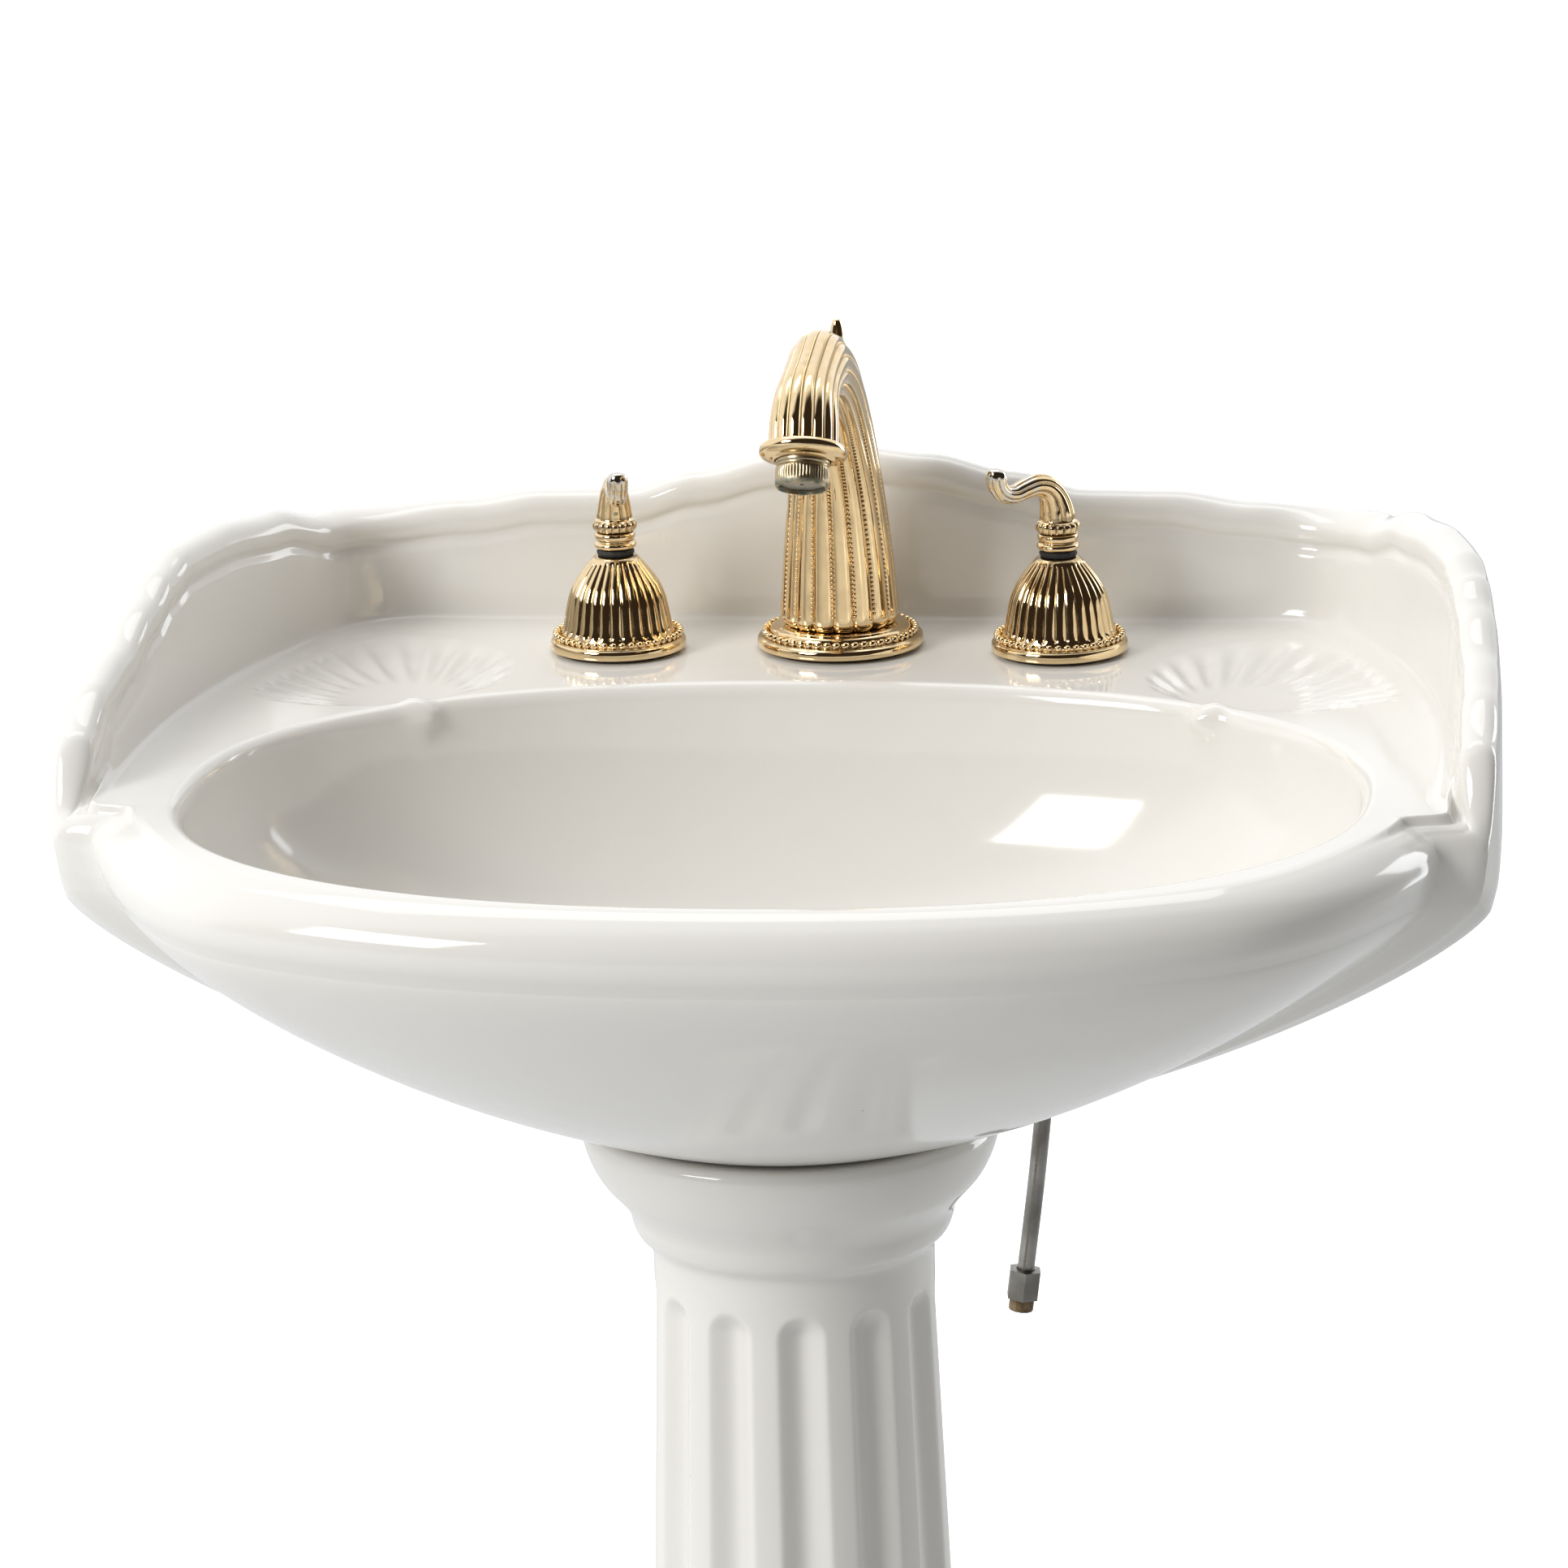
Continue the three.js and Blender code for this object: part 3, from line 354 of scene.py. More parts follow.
def new_group(name, inputs, outputs):
    """A shader node group with named sockets, given as name to (type, value)."""
    group = bpy.data.node_groups.new(name, "ShaderNodeTree")
    for key, (kind, value) in inputs.items():
        socket = group.interface.new_socket(name=key, in_out="INPUT", socket_type=kind)
        if value is not None:
            socket.default_value = value
    for key, kind in outputs.items():
        group.interface.new_socket(name=key, in_out="OUTPUT", socket_type=kind)
    return group, group.nodes.new("NodeGroupInput"), group.nodes.new("NodeGroupOutput")


FLOAT, COLOUR, VECTOR = "NodeSocketFloat", "NodeSocketColor", "NodeSocketVector"


def cloudiness_group():
    """A value that drifts between Low and High over the surface, as handling leaves it."""
    group, given, result = new_group(
        "cloudiness",
        {"Scale": (FLOAT, 30.0), "Low": (FLOAT, 0.0), "High": (FLOAT, 1.0)},
        {"Value": FLOAT},
    )
    place = add(group, "ShaderNodeTexCoord").outputs["Object"]
    grain = {"Vector": place, "Scale": given.outputs["Scale"], "Detail": 6.0, "Roughness": 0.6}
    noise = add(group, "ShaderNodeTexNoise", grain)
    low, high = given.outputs["Low"], given.outputs["High"]
    drift = spread(group, noise.outputs["Fac"], 0.32, 0.68, low, high)
    group.links.new(drift, result.inputs["Value"])
    return group


def tarnish_group():
    """Dirt and oxide that gather in grooves: the base colour, darkened where the recess mask is
    high, unevenly, and the mask itself."""
    group, given, result = new_group(
        "tarnish",
        {
            "Base": (COLOUR, None),
            "Oxide": (COLOUR, None),
            "Amount": (FLOAT, 1.0),
            "Patches": (FLOAT, 150.0),
            "Handling": (FLOAT, 0.1),
        },
        {"Color": COLOUR, "Mask": FLOAT},
    )
    place = add(group, "ShaderNodeTexCoord").outputs["Object"]
    recess = add(group, "ShaderNodeAttribute", attribute_name="recess").outputs["Fac"]
    grain = {"Vector": place, "Scale": given.outputs["Patches"], "Detail": 5.0}
    noise = add(group, "ShaderNodeTexNoise", grain)
    uneven = spread(group, noise.outputs["Fac"], 0.35, 0.65)
    deep = maths(group, "MULTIPLY", recess, uneven)
    film = maths(group, "MULTIPLY", uneven, given.outputs["Handling"])
    both = maths(group, "MULTIPLY_ADD", deep, given.outputs["Amount"], film, use_clamp=True)
    colour = blend(group, both, given.outputs["Base"], given.outputs["Oxide"])
    group.links.new(colour, result.inputs["Color"])
    group.links.new(both, result.inputs["Mask"])
    return group


def skin_group():
    """Unevenness of a cast, glazed or drawn surface as a normal; Depth is in metres."""
    group, given, result = new_group(
        "skin",
        {"Scale": (FLOAT, 60.0), "Depth": (FLOAT, 0.0001), "Strength": (FLOAT, 0.3)},
        {"Normal": VECTOR},
    )
    place = add(group, "ShaderNodeTexCoord").outputs["Object"]
    grain = {"Vector": place, "Scale": given.outputs["Scale"], "Detail": 3.0}
    noise = add(group, "ShaderNodeTexNoise", grain)
    relief = {"Distance": given.outputs["Depth"], "Strength": given.outputs["Strength"]}
    bump = add(group, "ShaderNodeBump", {"Height": noise.outputs["Fac"], **relief})
    group.links.new(bump.outputs["Normal"], result.inputs["Normal"])
    return group


CLOUDINESS, TARNISH, SKIN = cloudiness_group(), tarnish_group(), skin_group()


def group_node(tree, group, **inputs):
    """The group in a material, with its own values."""
    node = tree.nodes.new("ShaderNodeGroup")
    node.node_tree = group
    for key, value in inputs.items():
        if isinstance(value, bpy.types.NodeSocket):
            tree.links.new(value, node.inputs[key])
        else:
            node.inputs[key].default_value = value
    return node


def new_material(name):
    material = bpy.data.materials.new(name)
    material.use_nodes = True
    tree = material.node_tree
    return material, tree, tree.nodes["Principled BSDF"]


def glazed_china():
    """White vitreous china: a warm white body that drifts slightly in tone, a few iron specks, and
    a glossy glaze with the gentle waves of a fired coat."""
    material, tree, shader = new_material("glazed_china")
    place = add(tree, "ShaderNodeTexCoord").outputs["Object"]
    drift = group_node(tree, CLOUDINESS, Scale=5.0)
    tones = (0.765, 0.745, 0.70, 1), (0.79, 0.775, 0.735, 1)
    body = blend(tree, drift.outputs["Value"], *tones)
    cells = add(tree, "ShaderNodeTexVoronoi", {"Vector": place, "Scale": 95.0})
    spot = spread(tree, cells.outputs["Distance"], 0.03, 0.06, 1.0, 0.0)
    cell = add(tree, "ShaderNodeSeparateColor", {"Color": cells.outputs["Color"]})
    rare = maths(tree, "GREATER_THAN", cell.outputs["Red"], 0.985)
    speck = maths(tree, "MULTIPLY", spot, rare)
    colour = blend(tree, speck, body, (0.30, 0.24, 0.18, 1))
    tree.links.new(colour, shader.inputs["Base Color"])
    wiped = group_node(tree, CLOUDINESS, Scale=14.0, Low=0.05, High=0.13)
    tree.links.new(wiped.outputs["Value"], shader.inputs["Roughness"])
    waves = group_node(tree, SKIN, Scale=9.0, Depth=0.0009, Strength=0.25)
    tree.links.new(waves.outputs["Normal"], shader.inputs["Normal"])
    shader.inputs["IOR"].default_value = 1.52
    return material


def metal(
    name, colour, oxide, rough, handling=0.1, patches=150.0, depth=3e-5, scale=120.0, wear=None
):
    """A metal whose grooves hold oxide and whose polish varies; where wear is given, that colour
    shows where the plating has gone."""
    material, tree, shader = new_material(name)
    stained = group_node(
        tree,
        TARNISH,
        Base=(*colour, 1),
        Oxide=(*oxide, 1),
        Amount=0.9,
        Handling=handling,
        Patches=patches,
    )
    shown = stained.outputs["Color"]
    if wear:
        mask = add(tree, "ShaderNodeAttribute", attribute_name="wear").outputs["Fac"]
        patch = group_node(tree, CLOUDINESS, Scale=260.0, Low=-0.25, High=0.35)
        edge = maths(tree, "ADD", mask, patch.outputs["Value"])
        shown = blend(tree, spread(tree, edge, 0.42, 0.58), shown, (*wear, 1))
    tree.links.new(shown, shader.inputs["Base Color"])
    polish = group_node(tree, CLOUDINESS, Scale=45.0, Low=rough[0], High=rough[1])
    stain, polished = stained.outputs["Mask"], polish.outputs["Value"]
    dull = maths(tree, "MULTIPLY_ADD", stain, 0.45, polished, use_clamp=True)
    tree.links.new(dull, shader.inputs["Roughness"])
    skin = group_node(tree, SKIN, Scale=scale, Depth=depth, Strength=0.4)
    tree.links.new(skin.outputs["Normal"], shader.inputs["Normal"])
    shader.inputs["Metallic"].default_value = 1.0
    return material


def soft_material(name, dark, light, rough):
    """Rubber or moulded plastic: a tone that drifts, and a matt, faintly uneven skin."""
    material, tree, shader = new_material(name)
    drift = group_node(tree, CLOUDINESS, Scale=90.0)
    body = blend(tree, drift.outputs["Value"], (*dark, 1), (*light, 1))
    tree.links.new(body, shader.inputs["Base Color"])
    skin = group_node(tree, SKIN, Scale=300.0, Depth=0.00005, Strength=0.5)
    tree.links.new(skin.outputs["Normal"], shader.inputs["Normal"])
    shader.inputs["Roughness"].default_value = rough
    return material


CHINA = glazed_china()
SILVERY = (0.66, 0.62, 0.55)
GOLD = metal(
    "polished_gold", (0.83, 0.64, 0.38), (0.075, 0.05, 0.026), (0.03, 0.09), 0.06, wear=SILVERY
)
LIMED_GOLD = metal(
    "limed_gold", (0.50, 0.40, 0.25), (0.24, 0.27, 0.23), (0.14, 0.32), 0.2, 260.0, 0.0001, 420.0
)
BRASS = metal("raw_brass", (0.66, 0.50, 0.26), (0.20, 0.14, 0.07), (0.22, 0.42), 0.35)
WORN_BRASS = metal("dull_brass", (0.30, 0.22, 0.13), (0.08, 0.06, 0.04), (0.32, 0.55), 0.6)
COPPER = metal("bent_copper", (0.72, 0.40, 0.26), (0.22, 0.11, 0.07), (0.20, 0.42), 0.4)
STEEL = metal("zinc_steel", (0.34, 0.34, 0.33), (0.25, 0.23, 0.21), (0.22, 0.40), 0.25)
NICKEL = metal("dull_nickel", (0.33, 0.32, 0.30), (0.12, 0.11, 0.09), (0.18, 0.38), 0.45, 60.0)
RUBBER = soft_material("black_rubber", (0.018, 0.018, 0.018), (0.035, 0.034, 0.033), 0.7)
PLASTIC = soft_material("white_plastic", (0.62, 0.62, 0.60), (0.70, 0.70, 0.68), 0.45)


# ---------- basin ----------
def superellipse(angle, power):
    """Cosine and sine of the angles, scaled onto |x|^power + |y|^power = 1."""
    c, s = np.cos(angle), np.sin(angle)
    scale = (np.abs(c) ** power + np.abs(s) ** power) ** (-1 / power)
    return scale * c, scale * s


def outer_reach(turn, inset):
    """Distance from the column axis to the basin's outer edge moved in by an inset: a superellipse
    in front, a side that draws in as a power of the distance, a rounded corner, a straight back."""
    reach = HALF_WIDTH - inset
    c, s = superellipse(np.linspace(-np.pi / 2, 0, 240), FRONT_ROUNDNESS)
    front = np.stack([reach * c, SIDE_Y + (SIDE_Y - FRONT - inset) * s], -1)
    back = BACK - inset
    corner = mix(16, 45, inset / 29)

    def side_x(y):
        return reach - CORNER_INSET * ((y - SIDE_Y) / (back - SIDE_Y)) ** CORNER_POWER

    y = np.linspace(SIDE_Y, back - corner, 160)[1:]
    side = np.stack([side_x(y), y], -1)
    t = np.linspace(0, 1, 40)[1:, None]
    tip = np.array([side_x(back), back])
    end = tip - [corner, 0]
    bend = (1 - t) ** 2 * side[-1] + 2 * t * (1 - t) * tip + t**2 * end
    straight = np.stack([np.linspace(end[0], 0, 160)[1:], np.full(159, back)], -1)
    line = np.concatenate([front, side, bend, straight])
    bearing = np.arctan2(line[:, 0], COLUMN_Y - line[:, 1])
    return np.interp(turn, bearing, np.hypot(line[:, 0], line[:, 1] - COLUMN_Y))


def bowl_reach(turn, grow=0.0):
    """Distance from the column axis to the bowl's edge, a superellipse, let out by a growth."""
    c, s = superellipse(np.linspace(-np.pi / 2, np.pi / 2, 720), BOWL_ROUNDNESS)
    half_depth = (BOWL_BACK - BOWL_FRONT) / 2 + grow
    x = (BOWL_HALF_WIDTH + grow) * c
    y = (BOWL_BACK + BOWL_FRONT) / 2 + half_depth * s
    return np.interp(turn, np.arctan2(x, COLUMN_Y - y), np.hypot(x, y - COLUMN_Y))


# Height of the splash-back and wings above the deck, as (share of the half width, setback, height).
RIM_STATIONS = [
    (0, 0, 81), (0.12, 0, 77.5), (0.25, 0, 69), (0.36, 0, 60.5), (0.5, 0, 60), (0.62, 0, 55),
    (0.75, 0, 52), (0.83, 22, 54), (0.87, 69, 64), (0.93, 115, 68), (0.95, 160, 68),
    (0.98, 184, 63), (0.99, 208, 55), (1, 250, 43), (1, 292, 38), (1, 327, 27), (0.97, 360, 8),
    (0.85, 410, 1), (0, 524, 0),
]

# Section of the rim where there is no wall, as (inset, height), and of the wall, as (inset, share
# of the wall's height, height added to that).
FRONT_SECTION = [
    (20.5, 0), (19, 0), (17.5, -0.2), (16, -0.5), (14, -1.3), (12, -2.2), (10, -3.4), (7.6, -5.2),
    (5, -7.8), (3, -10.4), (1.2, -13.6), (0.2, -17), (0, -20.4), (0.5, -23.6), (1.6, -26.4),
    (3.2, -29),
]
WALL_SECTION = [
    (31, 0, 0), (27, 0, 0.3), (23.5, 0, 1.6), (21, 0, 5), (19.4, 0.35, 3), (18.3, 0.8, -8),
    (17.6, 1, -19), (16.2, 1, -15.6), (18.2, 1, -12.4), (17.8, 1, -6), (14.5, 1, -1.4), (9, 1, 0),
    (3.4, 1, -1.6), (0.3, 1, -7), (0, 0.4, -12), (0, 0, -36),
]


def rim_heights(turn):
    """Height of the wall at a bearing: smooth steps between the stations."""
    share, setback, height = np.array(RIM_STATIONS, float).T
    bearing = np.arctan2(share * HALF_WIDTH, COLUMN_Y - (BACK - setback))
    order = np.argsort(bearing)
    bearing, height = bearing[order], height[order]
    k = np.clip(np.searchsorted(bearing, turn), 1, len(bearing) - 1)
    share = smooth((turn - bearing[k - 1]) / (bearing[k] - bearing[k - 1]))
    return mix(height[k - 1], height[k], share)


def shell_relief(x, y, foot_gap):
    """How deep the scallop dish lies below the deck. Measured from its point at the bowl's lip,
    the dish's edge is a circle through that point; grooves fan out from the point and die out at
    the edge and towards the smooth middle, and a soft knob stands at the point itself."""
    across, back = np.abs(x) - SHELL_APEX[0], y - SHELL_APEX[1]
    along = across * SHELL_DIRECTION[0] + back * SHELL_DIRECTION[1]
    aside = across * SHELL_DIRECTION[1] - back * SHELL_DIRECTION[0]
    fan = np.arctan2(aside, along)
    distance = np.hypot(along, aside)
    share = distance / (2 * SHELL_RADIUS * np.maximum(np.cos(fan), 0.05))
    groove = 0.5 + 0.5 * np.cos(fan * SHELL_RIBS)
    groove = groove * smooth((1.04 - share) / 0.25) * smooth((share - 0.35) / 0.3)
    groove = groove * smooth((distance - 26) / 30)
    depth = SHELL_DEPTH * smooth((1.05 - share) / 0.95) + SHELL_GROOVE * groove
    depth = np.where(along > 0, depth, 0) * smooth(along / 14)
    knob = SHELL_KNOB * np.exp(-((aside / 6.0) ** 2) - ((along - 1) / 7.0) ** 2)
    return (depth - knob) * smooth(foot_gap / 8)


def basin_angles(steps):
    """Bearings round the column axis, given as (from, to, step) in degrees for the right half."""
    half = np.concatenate([np.arange(a, b, step) for a, b, step in steps])
    return np.radians(np.concatenate([half, [180.0], 360 - half[:0:-1]]))


def front_tuck(turn):
    """How far the front's edge lies inside the plan outline: it grows round the front corners and
    ends sharply at the front edge of the wings, which stand out by that much."""
    (start, growth), (end, fall) = TUCK_GROWS, TUCK_ENDS
    return FRONT_TUCK * smooth((turn - start) / growth) * smooth((end - turn) / fall)


def basin_rows(angle, inset, fine):
    """Rows of radii and heights of the basin's outside, from the inner foot of the wall, over the
    wall or the rolled front rim, down the belly to the column."""
    turn = np.minimum(angle, 2 * np.pi - angle)
    height = rim_heights(turn)
    share = smooth(height / 30)
    steps = np.arange(0, 46.1, 0.5)
    table = np.array([outer_reach(turn, amount) for amount in steps])
    each = np.arange(len(angle))
    tuck = front_tuck(turn)

    def reach(amount):
        place = np.clip(amount / 0.5, 0, len(steps) - 1.001)
        low = place.astype(int)
        return mix(table[low, each], table[low + 1, each], place - low)

    radii, levels = [], []
    for k, ((front, drop), (wall, part, extra)) in enumerate(zip(FRONT_SECTION, WALL_SECTION)):
        if 4 < k < 10:
            wall = mix(17.9, wall, 0.25 + 0.75 * smooth((height - 36) / 20))
        radii.append(reach(mix(front, wall, share) + tuck + inset))
        under = inset if k < len(FRONT_SECTION) - 2 else 0
        wall_level = part * height + extra
        if k in (4, 5):
            wall_level = np.minimum(wall_level, height - 33 + 2.5 * k)
        levels.append(DECK + mix(drop, wall_level, share) - under)
    rear = smooth((1.1 - np.abs(np.pi - turn)) / 0.5)
    top_level = DECK + mix(mix(-33, -48, share), -APRON_DROP, rear)
    top_radius = reach(mix(5.5, mix(3, 0, rear), share) + tuck + inset)
    radii.append(top_radius)
    levels.append(top_level)
    rows = softened(np.stack([radii, levels], -1), 2 if fine else 0)
    foot = FOOT_Z + inset
    belly_steps = 40 if fine else 9
    belly = np.sin(np.linspace(1, 0, belly_steps)[1:, None] * np.pi / 2) ** 1.2
    radius = mix(FOOT_RADIUS - inset, top_radius, belly)
    level = top_level - (top_level - foot) * (1 - belly**1.25) ** 0.785
    return np.concatenate([rows, np.stack([radius, level], -1)])


def bowl_rows(angle, grow, steps):
    """Rows of the bowl from its floor up to the deck: a quarter of a superellipse of power 2.2
    between the floor round the drain and the bowl's edge."""
    turn = np.minimum(angle, 2 * np.pi - angle)
    depth = np.cos(np.linspace(0, 1, steps)[:, None] * np.pi / 2)
    share = (1 - depth**2.2) ** (1 / 2.2)
    radius = mix(BOWL_FLAT_RADIUS, bowl_reach(turn, grow), share)
    level = mix(DECK, BOWL_FLOOR - grow, depth) + 0 * turn
    return np.stack([radius, level], -1)


def placed_rows(rows, angle):
    """Rows of (radius, height) set out round the column axis."""
    radius, level = rows[..., 0], rows[..., 1]
    return np.stack([radius * np.sin(angle), COLUMN_Y - radius * np.cos(angle), level], -1)


def pole(angle, level):
    """A row of points that all lie on the column axis."""
    return np.stack([0 * angle, np.full_like(angle, level)], -1)[None]


def basin():
    """The basin's whole skin: bowl, softly rounded lip, deck with its shell dishes, wall or rim,
    belly and foot, then the hollow underside and the holes taken out."""
    stretches = [(0, 66, 1.2), (66, 82, 0.5), (82, 108, 1.2), (108, 146, 0.33), (146, 180, 1.1)]
    angle = basin_angles(stretches)
    turn = np.minimum(angle, 2 * np.pi - angle)
    bowl = bowl_rows(angle, 0.0, 44)
    bowl = bowl[np.all(bowl[..., 1] < DECK - LIP_DROP - 0.5, axis=1)]
    round_lip = np.linspace(0, np.pi / 2, 9)[:, None]
    start, end = bowl[-1, :, 0], bowl_reach(turn) + LIP_WIDTH
    lip = np.stack(
        [
            mix(start, end, 1 - np.cos(round_lip)),
            mix(bowl[-1, :, 1], DECK, np.sin(round_lip)),
        ],
        -1,
    )[1:]
    outside = basin_rows(angle, 0.0, True)
    share = np.linspace(0, 1, 84)[1:-1, None]
    deck = np.stack([mix(end, outside[0, :, 0], share), DECK + 0 * share * turn], -1)
    rows = np.concatenate([pole(angle, BOWL_FLOOR), bowl, lip, deck, outside, pole(angle, FOOT_Z)])
    apex = math.atan2(SHELL_APEX[0], COLUMN_Y - SHELL_APEX[1])
    beside = (turn - apex) * math.hypot(SHELL_APEX[0], SHELL_APEX[1] - COLUMN_Y)
    bump = np.exp(-((beside / 6.0) ** 2) - ((rows[..., 1] - DECK + 5) / 8.0) ** 2)
    rows[..., 0] -= 5.0 * bump * (rows[..., 0] < 215)
    points = placed_rows(rows, angle)
    upper = 1 + len(bowl) + len(lip) + len(deck)
    near_deck = smooth((points[:upper, :, 2] - DECK + 22) / 18)
    gap = outside[0, :, 0] - rows[:upper, :, 0]
    relief = shell_relief(points[:upper, :, 0], points[:upper, :, 1], gap)
    points[:upper, :, 2] -= relief * near_deck
    made = mesh_object("china_basin", surface(points))

    coarse = basin_angles([(0, 180, 5)])
    inner = [
        pole(coarse, DECK - SHELL_WALL),
        basin_rows(coarse, SHELL_WALL, False),
        pole(coarse, FOOT_Z + SHELL_WALL),
    ]
    inner = np.concatenate(inner)
    hollow = mesh_object("tool", surface(placed_rows(inner, coarse)))
    foot_back = COLUMN_Y + FOOT_RADIUS
    behind = block((-HALF_WIDTH, foot_back, FOOT_Z - 60), (HALF_WIDTH, BACK - 16, DECK - 14))
    carve(hollow, behind, operation="INTERSECT")
    under = bowl_rows(coarse, SHELL_WALL, 12)
    above = np.stack([under[-1, :, 0], under[-1, :, 1] + 30], -1)[None]
    low, high = pole(coarse, BOWL_FLOOR - SHELL_WALL), pole(coarse, DECK + 30)
    under = np.concatenate([low, under, above, high])
    carve(hollow, mesh_object("tool", surface(placed_rows(under, coarse))))
    window = block((-198, foot_back, FOOT_Z - 60), (198, BACK - 16, DECK - 40))
    carve(window, mesh_object("tool", surface(placed_rows(under, coarse))))
    holes = [drill(18.5, BOWL_FLOOR - 40, BOWL_FLOOR + 40, 0, COLUMN_Y)]
    holes += [drill(15, DECK - 60, DECK + 60, side * VALVE_X, ROW_Y) for side in (-1, 1)]
    holes += [drill(17.5, DECK - 60, DECK + 60, 0, SPOUT_Y)]
    recess = drill(FOOT_RADIUS - SHELL_WALL, FOOT_Z - 10, BOWL_FLOOR - SHELL_WALL, 0, COLUMN_Y, 72)
    carve(made, hollow, window, recess, *holes)
    finished(made, CHINA, "sink", ["basin"], 32)


# ---------- column ----------
def shaft_radius(level):
    """Radius of the plain shaft, which widens evenly downwards."""
    return NECK_RADIUS + SHAFT_FLARE * (FOOT_Z - 81.3 - level)


def column_radius(z):
    """Radius of the column at a height, flutes aside: plinth, flared shaft, neck and capital."""
    top = COLUMN_TOP
    foot = PLINTH_HEIGHT + 36
    shaft = shaft_radius
    outline = [
        (PLINTH_RADIUS - 2, 0), (PLINTH_RADIUS, 2.5), (PLINTH_RADIUS, PLINTH_HEIGHT - 4),
        (PLINTH_RADIUS - 1, PLINTH_HEIGHT), (PLINTH_RADIUS - 4, foot - 32),
        (PLINTH_RADIUS - 10, foot - 26), (PLINTH_RADIUS - 17, foot - 21),
        (PLINTH_RADIUS - 18, foot - 16), (PLINTH_RADIUS - 18.5, foot - 9),
        (shaft(foot) + 8, foot - 4), (shaft(foot) + 2, foot + 2), (shaft(foot + 14), foot + 14),
        (shaft(top - 88), top - 88), (shaft(top - 78), top - 78), (NECK_RADIUS, top - 66),
        (NECK_RADIUS, top - 60), (NECK_RADIUS + 1.2, top - 56), (68, top - 52), (70.2, top - 46.5),
        (71, top - 42), (73, top - 38), (78, top - 32), (83.5, top - 26), (87.8, top - 18),
        (90.4, top - 10), (CAPITAL_RADIUS, top - 5), (CAPITAL_RADIUS - 1, top - 1.6),
        (CAPITAL_RADIUS - 3.4, top),
    ]
    outline = softened(outline, 2)
    return np.interp(z, outline[:, 1], outline[:, 0])


def column():
    """The fluted column: each flute is a trough whose ends are half circles, so its depth falls
    as a cosine of the distance from its middle line."""
    angle = np.linspace(0, 2 * np.pi, 384, endpoint=False)[None, :]
    z = np.concatenate(
        [
            np.linspace(0, 90, 52)[:-1], np.linspace(90, 124, 22)[:-1],
            np.linspace(124, 548, 12)[:-1], np.linspace(548, 590, 34)[:-1],
            np.linspace(590, COLUMN_TOP, 64),
        ]
    )[:, None]
    radius = column_radius(z)
    nearest = (angle - FLUTE_TURN + np.pi / FLUTES) % (2 * np.pi / FLUTES) - np.pi / FLUTES
    half = FLUTE_HALF_ANGLE * radius
    beyond = np.maximum(z - (FLUTE_TOP - half), 0) + np.maximum(FLUTE_FOOT + half - z, 0)
    away = np.hypot(nearest * radius, beyond) / half
    depth = FLUTE_DEPTH * np.cos(np.pi / 2 * np.minimum(away, 1)) ** 1.25
    rows = np.stack([radius - depth, z + 0 * angle], -1)
    rows = np.concatenate([pole(angle[0], 0.0), rows, pole(angle[0], COLUMN_TOP)])
    made = mesh_object("china_pedestal", surface(placed_rows(rows, angle[0])))
    top = COLUMN_TOP
    wide, narrow = PLINTH_RADIUS - COLUMN_WALL - 8, NECK_RADIUS - COLUMN_WALL
    shoulder = PLINTH_HEIGHT + 50
    bore = [
        (0, -10), (wide, -10), (wide, PLINTH_HEIGHT - 8),
        (shaft_radius(shoulder) - COLUMN_WALL, shoulder), (narrow, top - 90), (narrow, top + 10),
        (0, top + 10),
    ]
    bore = mesh_object("tool", lathe(bore, 0, COLUMN_Y, 0.0, 96, wrap_rows=False))
    slot = block((-COLUMN_SLOT, COLUMN_Y, -10), (COLUMN_SLOT, COLUMN_Y + 240, top + 10))
    carve(made, bore, slot)
    finished(made, CHINA, "sink", ["pedestal"], 40)


# ---------- spout ----------
def spout_lines(share):
    """The spout's back-and-top line, its front-and-underside line and its half width, at shares of
    the way from the foot to the tip; forward distance from the shank and height above the deck."""
    crown = SPOUT_TOP - 0.8
    foot = SPOUT_FOOT_RADIUS
    wide, rise = TIP_RADIUS * math.cos(TIP_TILT), TIP_RADIUS * math.sin(TIP_TILT)
    back, lift = SPOUT_REACH - 11 * math.sin(TIP_TILT), TIP_HEIGHT + 11 * math.cos(TIP_TILT)
    reach = SPOUT_REACH
    stations = [
        ((-foot, 12), (foot, 12), foot),
        ((-foot + 2, 45), (foot - 0.5, 42), foot - 2.4),
        ((-foot + 8, 85), (foot + 3, 74), foot - 6.2),
        ((-foot + 21, 0.77 * crown), (0.355 * reach, 0.62 * crown), foot - 9.4),
        ((0.15 * reach, 0.925 * crown), (0.46 * reach, 0.725 * crown), foot - 11.5),
        ((0.42 * reach, crown), (0.57 * reach, 0.785 * crown), TIP_RADIUS - 1.2),
        ((0.7 * reach, 0.98 * crown), (0.69 * reach, 0.805 * crown), TIP_RADIUS - 2),
        ((reach - 3.5, TIP_HEIGHT + 28), (0.777 * reach, TIP_HEIGHT + 6.5), TIP_RADIUS - 1.2),
        ((back + wide, lift + rise), (back - wide, lift - rise), TIP_RADIUS - 0.3),
        ((reach + wide, TIP_HEIGHT + rise), (reach - wide, TIP_HEIGHT - rise), TIP_RADIUS),
    ]

    def curve(points):
        return through([(0, SPOUT_Y - forward, DECK + height) for forward, height in points], share)

    over = curve([s[0] for s in stations])
    under = curve([s[1] for s in stations])
    half = through([(s[2], 0) for s in stations], share)[:, 0]
    return over, under, half


